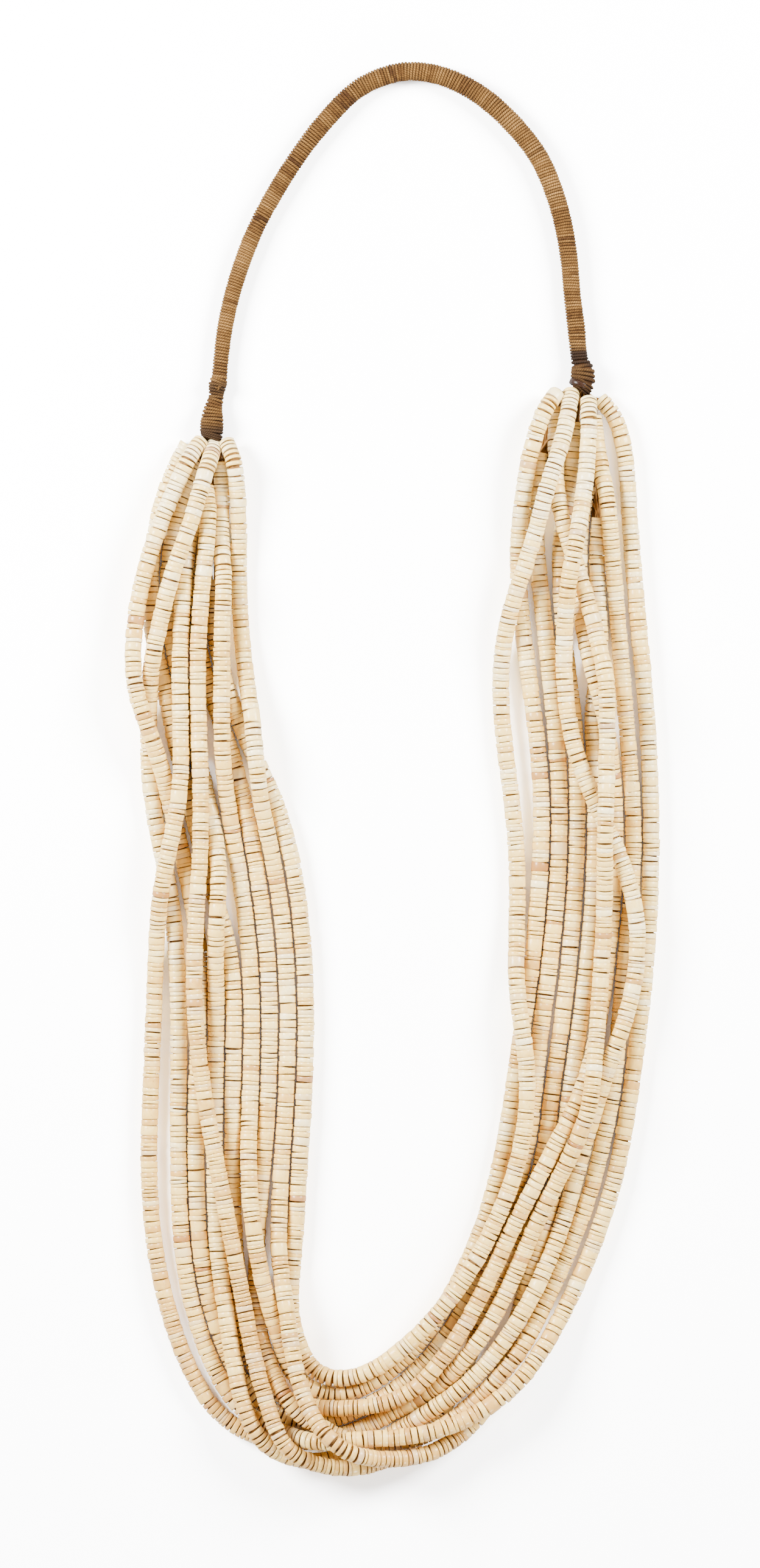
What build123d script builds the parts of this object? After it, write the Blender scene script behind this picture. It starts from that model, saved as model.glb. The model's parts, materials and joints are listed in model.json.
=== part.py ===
from build123d import *

import math
import os

import numpy as np

# A necklace of ten strings of shell discs, joined behind the neck by a cord-wrapped piece.
# All sizes are in millimetres. It lies flat on a table: X runs across it, Y from its low
# end to the wrapped piece and Z up from the table.

# Strings of shell discs.
DISC_D = 5.0
CLEARANCE = 0.3  # kept between one string and the next
RUN = 8.0  # one straight run of a string's path
ARC_SHARE = 0.45  # share of a run that the bend at its end takes
LEVEL = 6.2  # height of one level of the routes before the strings settle
NEAR = 5.0  # strings closer than this, side to side, are watched while they settle

# Wrapped neck piece and its two bindings.
WRAP_D = 5.8
WRAP_WIDTH = 106.3  # between the two ends of the wrap
WRAP_RISE = 89.7  # from the wrap's left end up to its crown
WRAP_LEFT = (-51.2, 116.5)
LEFT_BINDING_D = 7.1
LEFT_BINDING_L = 18.9
RIGHT_BINDING_D = 7.4
RIGHT_BINDING_L = 9.0

# Wrap, from its left end: across and up as shares of WRAP_WIDTH and WRAP_RISE, thickness
# as a share of WRAP_D.
WRAP_SECTIONS = [
    # across, up, thickness
    (0.000, 0.000, 0.83),
    (0.003, 0.045, 0.81),
    (0.014, 0.151, 0.84),
    (0.034, 0.262, 0.85),
    (0.063, 0.373, 0.88),
    (0.101, 0.485, 0.89),
    (0.151, 0.596, 0.91),
    (0.210, 0.708, 0.91),
    (0.280, 0.819, 0.95),
    (0.373, 0.933, 0.98),
    (0.463, 0.987, 1.00),
    (0.548, 1.000, 1.00),
    (0.642, 0.974, 1.03),
    (0.736, 0.911, 1.05),
    (0.820, 0.819, 1.05),
    (0.885, 0.719, 1.02),
    (0.927, 0.608, 1.00),
    (0.955, 0.491, 0.97),
    (0.971, 0.373, 0.93),
    (0.979, 0.262, 0.91),
    (0.990, 0.156, 0.95),
    (0.995, 0.089, 0.90),
    (1.000, 0.050, 0.91),
]
# Left binding, from the wrap down: sideways drift and way down as shares of
# LEFT_BINDING_L, thickness as a share of LEFT_BINDING_D.
LEFT_BINDING_SECTIONS = [
    # drift, down, thickness
    (-0.008, 0.07, 0.70),
    (-0.026, 0.12, 0.80),
    (-0.037, 0.19, 0.76),
    (-0.053, 0.29, 0.65),
    (-0.058, 0.37, 0.66),
    (-0.090, 0.47, 0.75),
    (-0.111, 0.58, 0.86),
    (-0.116, 0.69, 0.96),
    (-0.122, 0.82, 1.00),
    (-0.127, 0.94, 0.94),
    (-0.132, 1.00, 0.83),
]
# Right binding, in the same columns, as shares of RIGHT_BINDING_L and RIGHT_BINDING_D.
RIGHT_BINDING_SECTIONS = [
    # drift, down, thickness
    (0.044, 0.16, 0.80),
    (0.089, 0.31, 0.93),
    (0.100, 0.51, 1.00),
    (0.089, 0.71, 0.99),
    (0.033, 0.89, 0.89),
    (-0.011, 1.00, 0.77),
]
# Routes of the ten strings, from the left binding round to the right one: across, along
# and the level at which the string crosses the others, 0 on the table.
STRING_ROUTES = {
    "strand_01": [
        (-57.4, 77.5, 0), (-58.3, 72, 0.4), (-59.4, 66, 0.8), (-60.6, 57, 0.9), (-61.9, 47, 0.9),
        (-62.8, 36, 1), (-63, 24, 1), (-62.6, 12, 1.3), (-62.7, 0, 1.3), (-64.2, -12, 1.3),
        (-66.3, -21, 1.2), (-67.7, -31, 1), (-69.2, -43, 0.4), (-70.3, -58, 0), (-70.7, -76, 0),
        (-71.5, -94, 0), (-72.4, -110, 0), (-72.1, -127, 0), (-70.7, -143, 0), (-66.9, -159, 0),
        (-61.8, -175, 0), (-55.3, -188.5, 0), (-47.5, -195.9, 0), (-38.5, -199.5, 0),
        (-29, -199.8, 0.2), (-19, -197.3, 0.4), (-9.5, -193.9, 0), (0, -192.4, 0), (9, -188.6, 0),
        (16.7, -182, 0.1), (23.3, -174.2, 0.2), (28.4, -165.2, 0.3), (33.2, -155, 0.6),
        (37.4, -145, 0.9), (41.1, -135, 1.2), (44.9, -127, 1.6), (49.3, -120, 1.9), (53.6, -110, 1.9),
        (56.6, -100, 2), (58.5, -90, 1.8), (59.7, -79, 1.4), (60.4, -69, 1.2), (61.5, -58, 1.2),
        (62.4, -44, 1.2), (62.6, -30, 1.2), (62.6, -14, 1.6), (62.6, 2, 1.4), (62.8, 16, 1.4),
        (61.9, 29, 1.5), (59.4, 40, 1.4), (57.1, 50, 1.2), (54.7, 58, 0.6), (51.9, 66, 0.3),
        (49.4, 74, 1), (48.2, 82, 1.1), (47.2, 90, 0.9), (47, 97, 0.4), (47.6, 102.5, 0.1),
        (48.4, 107.5, 0),
    ],
    "strand_02": [
        (-52.7, 96.2, 0.5), (-53.1, 91, 1), (-54.4, 85.5, 1.3), (-56.4, 79, 1.5), (-59.6, 70, 1.6),
        (-63.1, 60, 1.7), (-67, 51, 1.3), (-69.6, 37, 1.3), (-71.8, 20, 0.8), (-72.2, 8, 0.2),
        (-71.2, -8, 0), (-69, -21, 0), (-66.9, -33, 0.2), (-64.8, -44, 0.3), (-63.4, -60, 0.1),
        (-63.2, -80, 0), (-63.2, -100, 0), (-63.2, -120, 0), (-61.9, -139, 0), (-58, -157, 0),
        (-53.6, -172, 0.1), (-49.6, -182, 0.1), (-44, -191, 0.6), (-36.5, -195.5, 1),
        (-28.5, -195.5, 1.8), (-20.5, -193, 2), (-13.5, -194.2, 1.4), (-5, -196, 1), (3, -196.7, 1.2),
        (11, -195.8, 1.3), (19, -192.3, 1.3), (27.3, -187.6, 1), (34.1, -181.9, 1), (39.5, -176.3, 0.6),
        (45.1, -169.5, 0.3), (50, -160, 0), (54.4, -152, 0), (59.3, -140, 0), (63.2, -130, 0),
        (65.9, -121, 0), (68, -109, 0), (69.5, -99, 0), (71, -87, 0), (73, -74, 0), (74.5, -59, 0),
        (75.5, -47, 0), (76.2, -30, 0), (76.3, -14, 0), (75.9, 2, 0), (75, 16, 0), (73.6, 30, 0),
        (72.3, 44, 0), (70.9, 59, 0), (69.7, 73, 0), (69, 80, 0), (68.9, 89, 0), (68.8, 97, 0),
        (67.8, 102.3, 0), (64.9, 107, 0.1), (61.2, 109.6, 0.2),
    ],
    "strand_03": [
        (-55.2, 83.5, 0.4), (-54.3, 78, 0.7), (-54.2, 72.5, 0.8), (-54.6, 67, 0.7), (-55.3, 61, 0.7),
        (-56.6, 50, 0.8), (-57.5, 40, 1), (-58, 30, 1), (-57.6, 16, 0.6), (-56.9, 0, 1),
        (-56.4, -12, 1), (-56.4, -22, 1.6), (-57.2, -33, 1.6), (-58.3, -46, 1.2), (-58.7, -64, 1.2),
        (-58, -80, 1.2), (-56.3, -93, 1.3), (-53.8, -107, 1.3), (-51.1, -120, 1.4), (-47.8, -136, 1.3),
        (-45.1, -150, 1.1), (-42.4, -166, 1.1), (-38.4, -180, 1.8), (-34.6, -190.5, 2.3),
        (-30.3, -199.6, 2), (-22, -204.6, 1), (-13, -206.4, 0.9), (-5, -206.3, 0.4), (2, -202.8, 0),
        (7.5, -197, 0), (12, -190.5, 0), (15.8, -183.8, 0), (19.2, -176.5, 0), (22.7, -168, 0),
        (26.3, -160, 0), (29.6, -152, 0), (32.8, -144.5, 0), (35.9, -137, 0), (38.8, -129.5, 0),
        (41.3, -122, 0), (43.2, -114, 0), (45, -106.5, 0), (46.7, -98, 0), (48, -90, 0), (49.5, -79, 0),
        (50.7, -68, 0), (52, -56, 0), (53.2, -44, 0), (54, -31, 0), (54.6, -19, 0), (54.9, -7, 0),
        (54.4, 5, 0), (53.4, 16, 0), (51.8, 28, 0), (50.2, 40, 0), (49.1, 51, 0), (49.1, 62, 0),
        (49.9, 72, 0), (51.4, 82, 0), (53, 92, 0), (54.2, 99, 0), (54.5, 104, 0),
    ],
    "strand_04": [
        (-56.9, 96.6, 0.5), (-58.8, 94, 0.9), (-61.4, 89.5, 1.1), (-64.3, 83.5, 1.2), (-67, 77, 1.2),
        (-70, 69, 1.2), (-72.9, 59.5, 1.2), (-75.7, 49, 1), (-76.7, 38, 1), (-75.4, 25, 1.2),
        (-71.2, 12, 1.3), (-67.5, 0, 1.3), (-64.8, -12.5, 1.1), (-61.9, -24, 1.1), (-59.3, -37, 0.5),
        (-56.6, -50, 0.1), (-56.2, -66, 0), (-57.4, -82, 0), (-58.3, -98, 0), (-58.2, -115, 0),
        (-57.7, -132, 0), (-55.9, -147, 0.1), (-53.3, -160.5, 0.4), (-50.3, -171.5, 0.1),
        (-46.4, -180.5, 0), (-40.6, -187.5, 0), (-33.5, -191.8, 0), (-26, -193.4, 0), (-18, -192.2, 0),
        (-10, -188.8, 0), (-2.5, -184.4, 0), (3.5, -179.6, 0.1), (8, -175.2, 0.1), (12.5, -169.5, 0.1),
        (17, -163.2, 0.1), (21.7, -156, 0), (26.3, -148.5, 0), (30.2, -140.5, 0), (33.9, -132.5, 0),
        (37.3, -124.5, 0), (40, -117, 0), (41.6, -109, 0), (42.2, -100, 0), (42.5, -90, 0),
        (43, -80, 0), (44, -70, 0), (45.6, -61, 0), (47.2, -50, 0), (48.2, -39, 0), (48.9, -27, 0),
        (49.5, -14, 0), (49.2, -1, 0), (48.1, 10, 0), (47, 20, 0), (46, 31, 0), (44.8, 41, 0),
        (43.8, 52, 0), (42.4, 61, 0), (40.9, 69, 0), (41, 76, 0), (42, 83, 0), (43.2, 89, 0),
        (44, 94, 0),
    ],
    "strand_05": [
        (-57.5, 92, 0), (-59, 88.5, 0), (-60.9, 84, 0), (-63.4, 76.5, 0), (-65.6, 68.5, 0),
        (-66.7, 58, 0), (-67, 47, 0), (-65, 35, 0), (-62, 22.5, 0), (-59.2, 10, 0), (-56.6, -1, 0),
        (-54.1, -10, 0), (-52, -20, 0.1), (-51.2, -31, 0.9), (-51.8, -42, 0.9), (-52.3, -57, 0.1),
        (-52, -75, 0), (-52, -95, 0), (-52.8, -115, 0), (-53, -134, 0), (-52, -149, 0.1),
        (-49.4, -164, 0.6), (-46.2, -177.5, 0.7), (-42.4, -190, 1.1), (-37.4, -199.3, 1.2),
        (-29.5, -204.7, 0.5), (-20.5, -206.2, 0), (-12, -203.6, 0), (-5, -199.2, 0), (1.5, -195.2, 0),
        (8.5, -192.5, 0), (16, -188.5, 0.5), (22.5, -183.3, 0.9), (28, -176.6, 1), (33, -169, 1),
        (38.2, -159.7, 1), (43, -150.5, 1), (47.5, -140.7, 1), (50.9, -131, 0.8), (53.8, -121, 0.8),
        (56, -110.5, 0.8), (58.3, -101, 0.8), (60.7, -93.5, 1.1), (64.1, -84.5, 1.4), (68, -75, 1.4),
        (71, -66.5, 1.2), (72.7, -57, 1.3), (72.8, -46, 1.3), (71.2, -37, 1.3), (68, -28, 1.3),
        (64.1, -19, 1), (60, -12.5, 0.9), (56.6, -5, 1), (53.3, 4.5, 1.2), (51, 15, 1.2), (50, 27, 1.2),
        (50, 41, 1.2), (51.2, 53, 1.4), (53, 65, 1.6), (55.2, 75.5, 1.6), (57, 85.5, 1.5),
        (58.1, 95, 1.2), (58.3, 102, 1), (58, 109.4, 0.6),
    ],
    "strand_06": [
        (-61, 95.6, 0), (-62.9, 92.3, 0), (-64.5, 89, 0), (-66.4, 84, 0), (-68.4, 77.5, 0),
        (-70.4, 71, 0), (-71.8, 63, 0), (-72.7, 51, 0), (-71.9, 38, 0), (-68.9, 26, 0),
        (-65.6, 12, 0.2), (-62, -1, 0.3), (-58.6, -15.5, 0.2), (-55, -30, 0.2), (-50.9, -42, 0),
        (-47.8, -53, 0), (-46.9, -68, 0), (-46.9, -85, 0), (-47.4, -102, 0), (-47.8, -120, 0),
        (-48.3, -136, 0), (-48, -150, 0), (-45.8, -163, 0), (-43, -175, 0.1), (-39, -184.5, 0.6),
        (-33, -190, 1.2), (-26, -190.6, 1.2), (-18, -189.4, 1.2), (-9, -189.4, 1), (0, -188.8, 1),
        (7.5, -184.8, 1), (14, -178.3, 1.1), (18.8, -170, 1.1), (22.7, -161.5, 1), (27.2, -152.5, 1),
        (31.9, -142, 1), (36.2, -132.5, 1), (40.8, -124.5, 1), (45, -116, 1), (49, -108, 1),
        (52.9, -100.5, 1), (56.6, -93, 1), (59.1, -85, 0.8), (60.6, -76, 0.3), (62.1, -65, 0.1),
        (63.4, -54, 0.1), (64.7, -43, 0.1), (65.4, -33, 0.1), (65.8, -21, 0.1), (65.8, -9, 0.1),
        (64.4, 3, 0.1), (62.4, 14, 0.5), (60.2, 26, 0.9), (57.6, 37, 0.6), (55.4, 47, 0.1),
        (54.2, 57, 0), (54.8, 67, 0), (55.8, 75.5, 0), (56.7, 84, 0),
    ],
    "strand_07": [
        (-50.4, 91.5, 0), (-50.6, 84, 0), (-51.2, 75, 0), (-51.6, 66, 0.1), (-51.5, 57, 0.6),
        (-50.9, 46, 0.8), (-50.5, 33, 0.8), (-50.4, 20, 1.2), (-50, 7, 1.2), (-49, -8, 0.6),
        (-46.8, -22, 0.1), (-44.2, -37, 0.1), (-42.4, -50, 0), (-41.8, -66, 0), (-41.8, -84, 0),
        (-42.5, -102, 0.2), (-42.4, -118, 1), (-41.6, -133, 1), (-40.2, -147, 1), (-37.6, -161, 1),
        (-34.8, -173, 0.9), (-32, -183, 0.6), (-27, -187.5, 0.2), (-20, -187.6, 0), (-12.5, -185.9, 0),
        (-5, -182.2, 0.1), (1.5, -177.8, 0.1), (7, -172.6, 0.1), (12, -165.7, 0), (16.8, -158.5, 0),
        (21.2, -151, 0), (24.6, -143, 0), (27.7, -134.5, 0), (30.3, -125, 0), (32.1, -115.5, 0),
        (34, -106, 0), (35.4, -96.5, 0), (36.4, -87.5, 0), (37.5, -78.5, 0), (39, -69.5, 0),
        (40.7, -59, 0), (42.2, -46, 0), (43.3, -32, 0), (44.1, -19, 0), (44.1, -8, 0), (43.2, 4, 0),
        (41.8, 15, 0), (40.3, 26, 0), (38.5, 37.5, 0), (36.7, 48, 0), (35.9, 59, 0), (36.9, 68.5, 0.3),
        (38.6, 76, 0.8), (39.4, 84, 1), (40.2, 92, 0.9), (42, 99.5, 0.8), (44.6, 106, 0.8),
        (48.2, 111.8, 0.7),
    ],
    "strand_08": [
        (-58.4, 66, 0), (-59.2, 57.5, 0), (-59.7, 48, 0), (-58.6, 37, 0), (-55.9, 27, 0), (-52, 17, 0),
        (-47.9, 5, 0), (-44.2, -8, 0), (-41.6, -22, 0.1), (-38.8, -37, 0.1), (-37, -54, 0),
        (-36.3, -72, 0), (-36.8, -92, 0), (-37.8, -110, 0), (-40, -123, 0.1), (-40.4, -137, 0),
        (-39.8, -152, 0), (-38.8, -166, 0), (-35.6, -177.5, 0.6), (-31.7, -187, 1.8),
        (-26.8, -196.2, 1.9), (-19.5, -200.9, 1.2), (-10.5, -200.8, 0.6), (-1, -200.2, 0.5),
        (8, -198.8, 0.5), (15.4, -194.8, 0.4), (21.7, -189, 0.4), (27.6, -184, 0.3),
        (33.2, -178.2, 0.3), (37.5, -171, 0.3), (41.9, -163, 0.2), (46.4, -154, 0), (50.5, -145, 0),
        (54.1, -137, 0), (57.4, -128, 0), (60.5, -118, 0), (62.6, -107.5, 0), (64.1, -97.5, 0),
        (65.3, -87, 0.1), (66.6, -76, 0.1), (67.8, -62.5, 0), (69.5, -48.5, 0), (70.8, -33, 0),
        (71.2, -17, 0), (70.2, -2.5, 0), (69, 11, 0), (67.7, 27.5, 0), (65.9, 45, 0), (64.2, 58, 0.1),
        (62.4, 70, 0.8), (61.7, 80, 1), (60.8, 87.5, 0.6), (59.4, 94, 0.1), (58.8, 100, 0),
        (58.8, 105, 0),
    ],
    "strand_09": [
        (-49.2, 96.2, 0.4), (-48, 92.8, 0.8), (-47.1, 89, 0.8), (-46.8, 83, 0.6), (-46.7, 76, 0.3),
        (-46.6, 68, 0), (-46.2, 57, 0), (-45.4, 44, 0.1), (-44.3, 32, 0.2), (-42.5, 20, 0.9),
        (-41.2, 10, 1.1), (-40.1, 0, 1), (-38.4, -12, 0.7), (-35.8, -25, 0.2), (-32.8, -39, 0),
        (-31.4, -56, 0), (-31.1, -76, 0), (-31.5, -96, 0), (-32.7, -114, 0), (-34, -131, 0.2),
        (-34.2, -144, 0.9), (-32.6, -160, 1.2), (-30.3, -172, 1.8), (-27.8, -183, 2.8),
        (-24.2, -192.8, 3.1), (-17.5, -198.8, 2.6), (-9, -202.7, 1.7), (0, -203.6, 1.1),
        (10, -201.4, 1), (18.5, -197, 0.8), (25.3, -192, 0.2), (30, -185.3, 0), (33.2, -178, 0),
        (35.7, -170, 0), (37.9, -161.5, 0), (39.7, -153, 0), (42.3, -143.5, 0), (45.7, -133.5, 0),
        (48, -123.5, 0), (50, -113, 0), (51.4, -103, 0), (53.3, -91.5, 0), (54.8, -80, 0),
        (56.2, -67, 0), (57.6, -54, 0), (59, -40, 0), (59.7, -27, 0), (59.8, -14, 0), (59.7, -1, 0),
        (59.2, 11, 0.1), (59.2, 23, 0.1), (60.2, 35, 0.1), (60.8, 45, 0.1), (60, 56, 0.1),
        (58.6, 66, 0), (59.6, 76, 0),
    ],
    "strand_10": [
        (-54.3, 57, 0), (-54.4, 48, 0), (-53.9, 38.5, 0), (-51.1, 28.5, 0), (-47.4, 20, 0),
        (-43.9, 9, 0.1), (-38.9, -1, 0.1), (-33.8, -10, 0), (-30.7, -21, 0), (-27.9, -36, 0),
        (-25.9, -56, 0), (-25.4, -76, 0), (-26.5, -98, 0), (-28, -119, 0), (-28.9, -138, 0),
        (-31.4, -153.5, 0.2), (-32.5, -165, 0.2), (-30.5, -175, 0.2), (-26.5, -182, 0.8),
        (-19.5, -184.9, 1), (-12, -182.3, 0.9), (-4.5, -177.7, 0.8), (3, -172.5, 0.9), (9.5, -165, 0.9),
        (15.5, -158, 1), (21, -151.5, 1), (25.6, -142.5, 1), (30.4, -133.5, 1), (34.9, -125, 1),
        (37.7, -116, 1), (39.6, -106.5, 1), (40.7, -96, 1), (39.9, -84, 1), (37.9, -74.5, 1),
        (36.4, -65, 0.6), (36.2, -54, 0.2), (37, -41, 0), (37.1, -28, 0), (36, -15, 0), (34.3, -3, 0),
        (32.5, 9, 0), (31.2, 21, 0), (31.3, 33, 0.2), (33.4, 43.5, 0.7), (37, 54, 1.1),
        (40.6, 63.5, 1.1), (43.4, 73, 1.3), (45.4, 82, 2), (48, 90.5, 1.8), (51.2, 98, 1.3),
        (52.4, 105, 1), (52.2, 111.4, 0.6),
    ],
}


def even_runs(route):
    """Points about one run apart along the smooth curve that a route's points draw."""
    rows = np.array(route, float)
    rows[:, 2] = DISC_D / 2 + rows[:, 2] * LEVEL
    middles = (rows[:-1] + rows[1:]) / 2
    middles[0] = rows[0]
    middles[-1] = rows[-1]
    dense = [rows[0]]
    for corner, start, end in zip(rows[1:-1], middles, middles[1:]):
        for t in np.linspace(0, 1, 13)[1:]:
            dense.append(start * (1 - t) ** 2 + corner * 2 * t * (1 - t) + end * t * t)
    dense = np.array(dense)
    steps = np.linalg.norm(np.diff(dense[:, :2], axis=0), axis=1)
    along = np.r_[0, np.cumsum(steps)]
    places = np.linspace(0, along[-1], int(round(along[-1] / RUN)) + 1)
    return np.column_stack([np.interp(places, along, dense[:, k]) for k in range(3)])


def points_on_curve(first, counts):
    """Knots and weights of points along each string's curve, four to a run."""
    index, weight, owner = [], [], []
    for string, (start, count) in enumerate(zip(first, counts)):
        end = start + count - 1
        for t in (0, 0.25, 0.5):
            index += [(start, start + 1, start + 1), (end, end - 1, end - 1)]
            weight += [(1 - t, t, 0), (1 - t, t, 0)]
            owner += [string, string]
        for knot in range(start + 1, end):
            for t in (0.125, 0.375, 0.625, 0.875):
                index.append((knot - 1, knot, knot + 1))
                weight.append((0.5 * (1 - t) ** 2, 0.5 + t * (1 - t), 0.5 * t * t))
                owner.append(string)
    return np.array(index), np.array(weight), np.array(owner)


def settle(routes, fixed):
    """Lays the strings down until each rests on the table or on the strings below it."""
    paths = [even_runs(route) for route in routes]
    counts = [len(path) for path in paths]
    first = np.cumsum([0] + counts[:-1])
    last = np.cumsum(counts) - 1
    knots = np.vstack(paths)
    inner = np.setdiff1d(np.arange(len(knots)), np.r_[first, last])
    for _ in range(6):
        knots[inner] += 0.25 * ((knots[inner - 1] + knots[inner + 1]) / 2 - knots[inner])
    home = knots * (1, 1, 0)
    index, weight, owner = points_on_curve(first, counts)

    def on_curve():
        return (knots[index] * weight[:, :, None]).sum(axis=1)

    points = on_curve()
    pairs = []
    for string in range(len(paths)):
        mine = np.where(owner == string)[0]
        others = np.where(owner > string)[0]
        apart = np.linalg.norm(points[mine][:, None, :2] - points[others][None, :, :2], axis=2)
        i, j = np.where(apart < DISC_D + NEAR)
        pairs.append(np.c_[mine[i], others[j]])
    one, two = np.vstack(pairs).T
    apart = np.linalg.norm(points[:, None, :2] - fixed[None, :, :2], axis=2)
    three, block = np.where(apart < DISC_D + NEAR)
    rise = points[one, 2] - points[two, 2]
    order = np.where(np.abs(rise) > 0.3 * LEVEL, np.sign(rise), 0)
    spread = (weight ** 2).sum(axis=1)
    flat_end = np.isin(index[:, 0], np.r_[first, last]) & (weight[:, 0] > 0.7) & (weight[:, 2] == 0)
    reach_out = np.where(flat_end, 0, DISC_D / 2)
    wanted = DISC_D + CLEARANCE

    # Each stage: passes, sinking per pass, pull back to the route, and whether a string
    # that crosses over another only moves upwards.
    stages = [(500, 0.12, 0.06, True), (150, 0.03, 0.03, True), (130, 0.03, 0.01, True)]
    stages += [(20, 0.03, 0.01, False), (150, 0, 0, False)]
    for passes, sink, pull, lift_only in stages:
        for _ in range(passes):
            if sink:
                knots[:, 2] -= sink
                knots[:, :2] += pull * (home - knots)[:, :2]
                shift = knots - home
                shift[inner] += 0.1 * ((shift[inner - 1] + shift[inner + 1]) / 2 - shift[inner])
                knots = home + shift
            points = on_curve()
            gap = points[one] - points[two]
            far = np.linalg.norm(gap, axis=1)
            flat = np.hypot(gap[:, 0], gap[:, 1])
            close = far < wanted
            if lift_only:
                close = (flat < wanted) & (close | (order * gap[:, 2] < 0))
            push = gap[close] * ((wanted - far[close]) / 2 / np.maximum(far[close], 0.2))[:, None]
            if lift_only:
                over = order[close]
                need = np.sqrt(np.maximum(wanted ** 2 - flat[close] ** 2, 0))
                lift = 0.4 * over * np.maximum(need - over * gap[close, 2], 0)
                push = np.where(over[:, None] != 0, np.c_[0.3 * push[:, :2], lift], push)
            off = points[three] - fixed[block, :3]
            reach = np.linalg.norm(off, axis=1)
            room = fixed[block, 3] + reach_out[three] + CLEARANCE
            hit = reach < room
            away = off[hit] * ((room - reach)[hit] / np.maximum(reach[hit], 0.2))[:, None]
            total = np.zeros_like(knots)
            share = np.zeros(len(knots))
            for rows, moves in ((one[close], push), (two[close], -push), (three[hit], away)):
                for k in range(3):
                    part = weight[rows, k]
                    np.add.at(total, index[rows, k], moves * (part / spread[rows])[:, None])
                    np.add.at(share, index[rows, k], part)
            knots = knots + total / np.maximum(share, 1)[:, None]
            knots[:, 2] = np.maximum(knots[:, 2], DISC_D / 2)
    return [knots[a:b + 1] for a, b in zip(first, last)]


def wrap_sections():
    """Centres on the table and diameters along the wrapped neck piece."""
    x, y = WRAP_LEFT
    rows = []
    for across, up, thickness in WRAP_SECTIONS:
        d = thickness * WRAP_D
        rows.append((Vector(x + across * WRAP_WIDTH, y + up * WRAP_RISE, d / 2), d))
    return rows


def binding_sections(start, sections, length, diameter):
    """Centres on the table and diameters down a binding, from the wrap's end."""
    rows = [start]
    for drift, down, thickness in sections:
        d = thickness * diameter
        place = start[0] + Vector(drift * length, -down * length, 0)
        rows.append((Vector(place.X, place.Y, d / 2), d))
    return rows


def bound_body(rows, first_way, last_way):
    """Closed body through circles that stand across the line of their centres."""
    centres = [centre for centre, _ in rows]
    faces = []
    for i, (centre, d) in enumerate(rows):
        way = centres[min(i + 1, len(rows) - 1)] - centres[max(i - 1, 0)]
        if i == 0:
            way = first_way
        if i == len(rows) - 1:
            way = last_way
        faces.append(Plane(origin=centre, z_dir=way) * Circle(d / 2))
    return loft(faces)


def end_way(rows):
    """Level direction in which a binding ends."""
    way = rows[-1][0] - rows[-2][0]
    return Vector(way.X, way.Y, 0).normalized()


def kept_clear(rows):
    """Centres and radii of the balls inside a binding that the strings stay clear of."""
    end, d = rows[-1]
    balls = [(*centre, size / 2) for centre, size in rows[-6:-1]]
    return balls + [(*(end - end_way(rows) * d / 2), d / 2)]


def string_path(knots):
    """Straight runs joined by tangent arcs, and the smallest radius among them."""
    corners = [Vector(*knots[0])]
    for before, knot, after in zip(knots, knots[1:], knots[2:]):
        turn = Vector(*(knot - before)).get_angle(Vector(*(after - knot)))
        if turn > 0.05:
            corners.append(Vector(*knot))
    corners.append(Vector(*knots[-1]))
    radii = []
    for before, corner, after in zip(corners, corners[1:], corners[2:]):
        turn = math.radians((corner - before).get_angle(after - corner))
        shorter = min((corner - before).length, (after - corner).length)
        radii.append(ARC_SHARE * shorter / math.tan(turn / 2))
    return FilletPolyline(*corners, radius=radii), min(radii)


def disc_string(knots):
    """Solid of one string of discs, swept along its settled path."""
    path, tightest = string_path(knots)
    section = Plane(origin=path @ 0, z_dir=path % 0) * Circle(DISC_D / 2)
    return sweep(section, path=path), path.length, tightest


def centre_box(parts):
    """Moves all the parts together so that their box stands over the origin."""
    boxes = [part.bounding_box() for part in parts.values()]
    low = [min(getattr(box.min, axis) for box in boxes) for axis in "XYZ"]
    high = [max(getattr(box.max, axis) for box in boxes) for axis in "XYZ"]
    shift = Vector(-(low[0] + high[0]) / 2, -(low[1] + high[1]) / 2, -low[2])
    print("shift", [round(v, 4) for v in shift])
    return {name: part.moved(Location(shift)) for name, part in parts.items()}


def build():
    """All parts of the necklace by name."""
    wrap = wrap_sections()
    left_way = wrap[1][0] - wrap[0][0]
    right_way = wrap[-1][0] - wrap[-2][0]
    left = binding_sections(wrap[0], LEFT_BINDING_SECTIONS, LEFT_BINDING_L, LEFT_BINDING_D)
    right = binding_sections(wrap[-1], RIGHT_BINDING_SECTIONS, RIGHT_BINDING_L, RIGHT_BINDING_D)
    parts = {
        "neck_wrap": bound_body(wrap, left_way, right_way),
        "left_binding": bound_body(left, left_way * -1, end_way(left)),
        "right_binding": bound_body(right, right_way, end_way(right)),
    }
    fixed = np.array(kept_clear(left) + kept_clear(right))
    settled = settle(list(STRING_ROUTES.values()), fixed)
    for name, knots in zip(STRING_ROUTES, settled):
        parts[name], length, tightest = disc_string(knots)
        tube = math.pi * DISC_D ** 2 / 4 * length
        print(name, "runs", len(knots) - 1, "length", round(length, 1), "radius", round(tightest, 1),
              "volume", round(parts[name].volume / tube, 4), "top", round(knots[:, 2].max(), 1))
    return centre_box(parts)


if __name__ == "__main__":
    os.makedirs("parts", exist_ok=True)
    for name, part in build().items():
        part.label = name
        export_step(part, f"parts/{name}.step")
        print(name, "valid", part.is_valid, "volume", round(part.volume, 1))
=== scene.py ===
import functools
import json
import math

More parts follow.
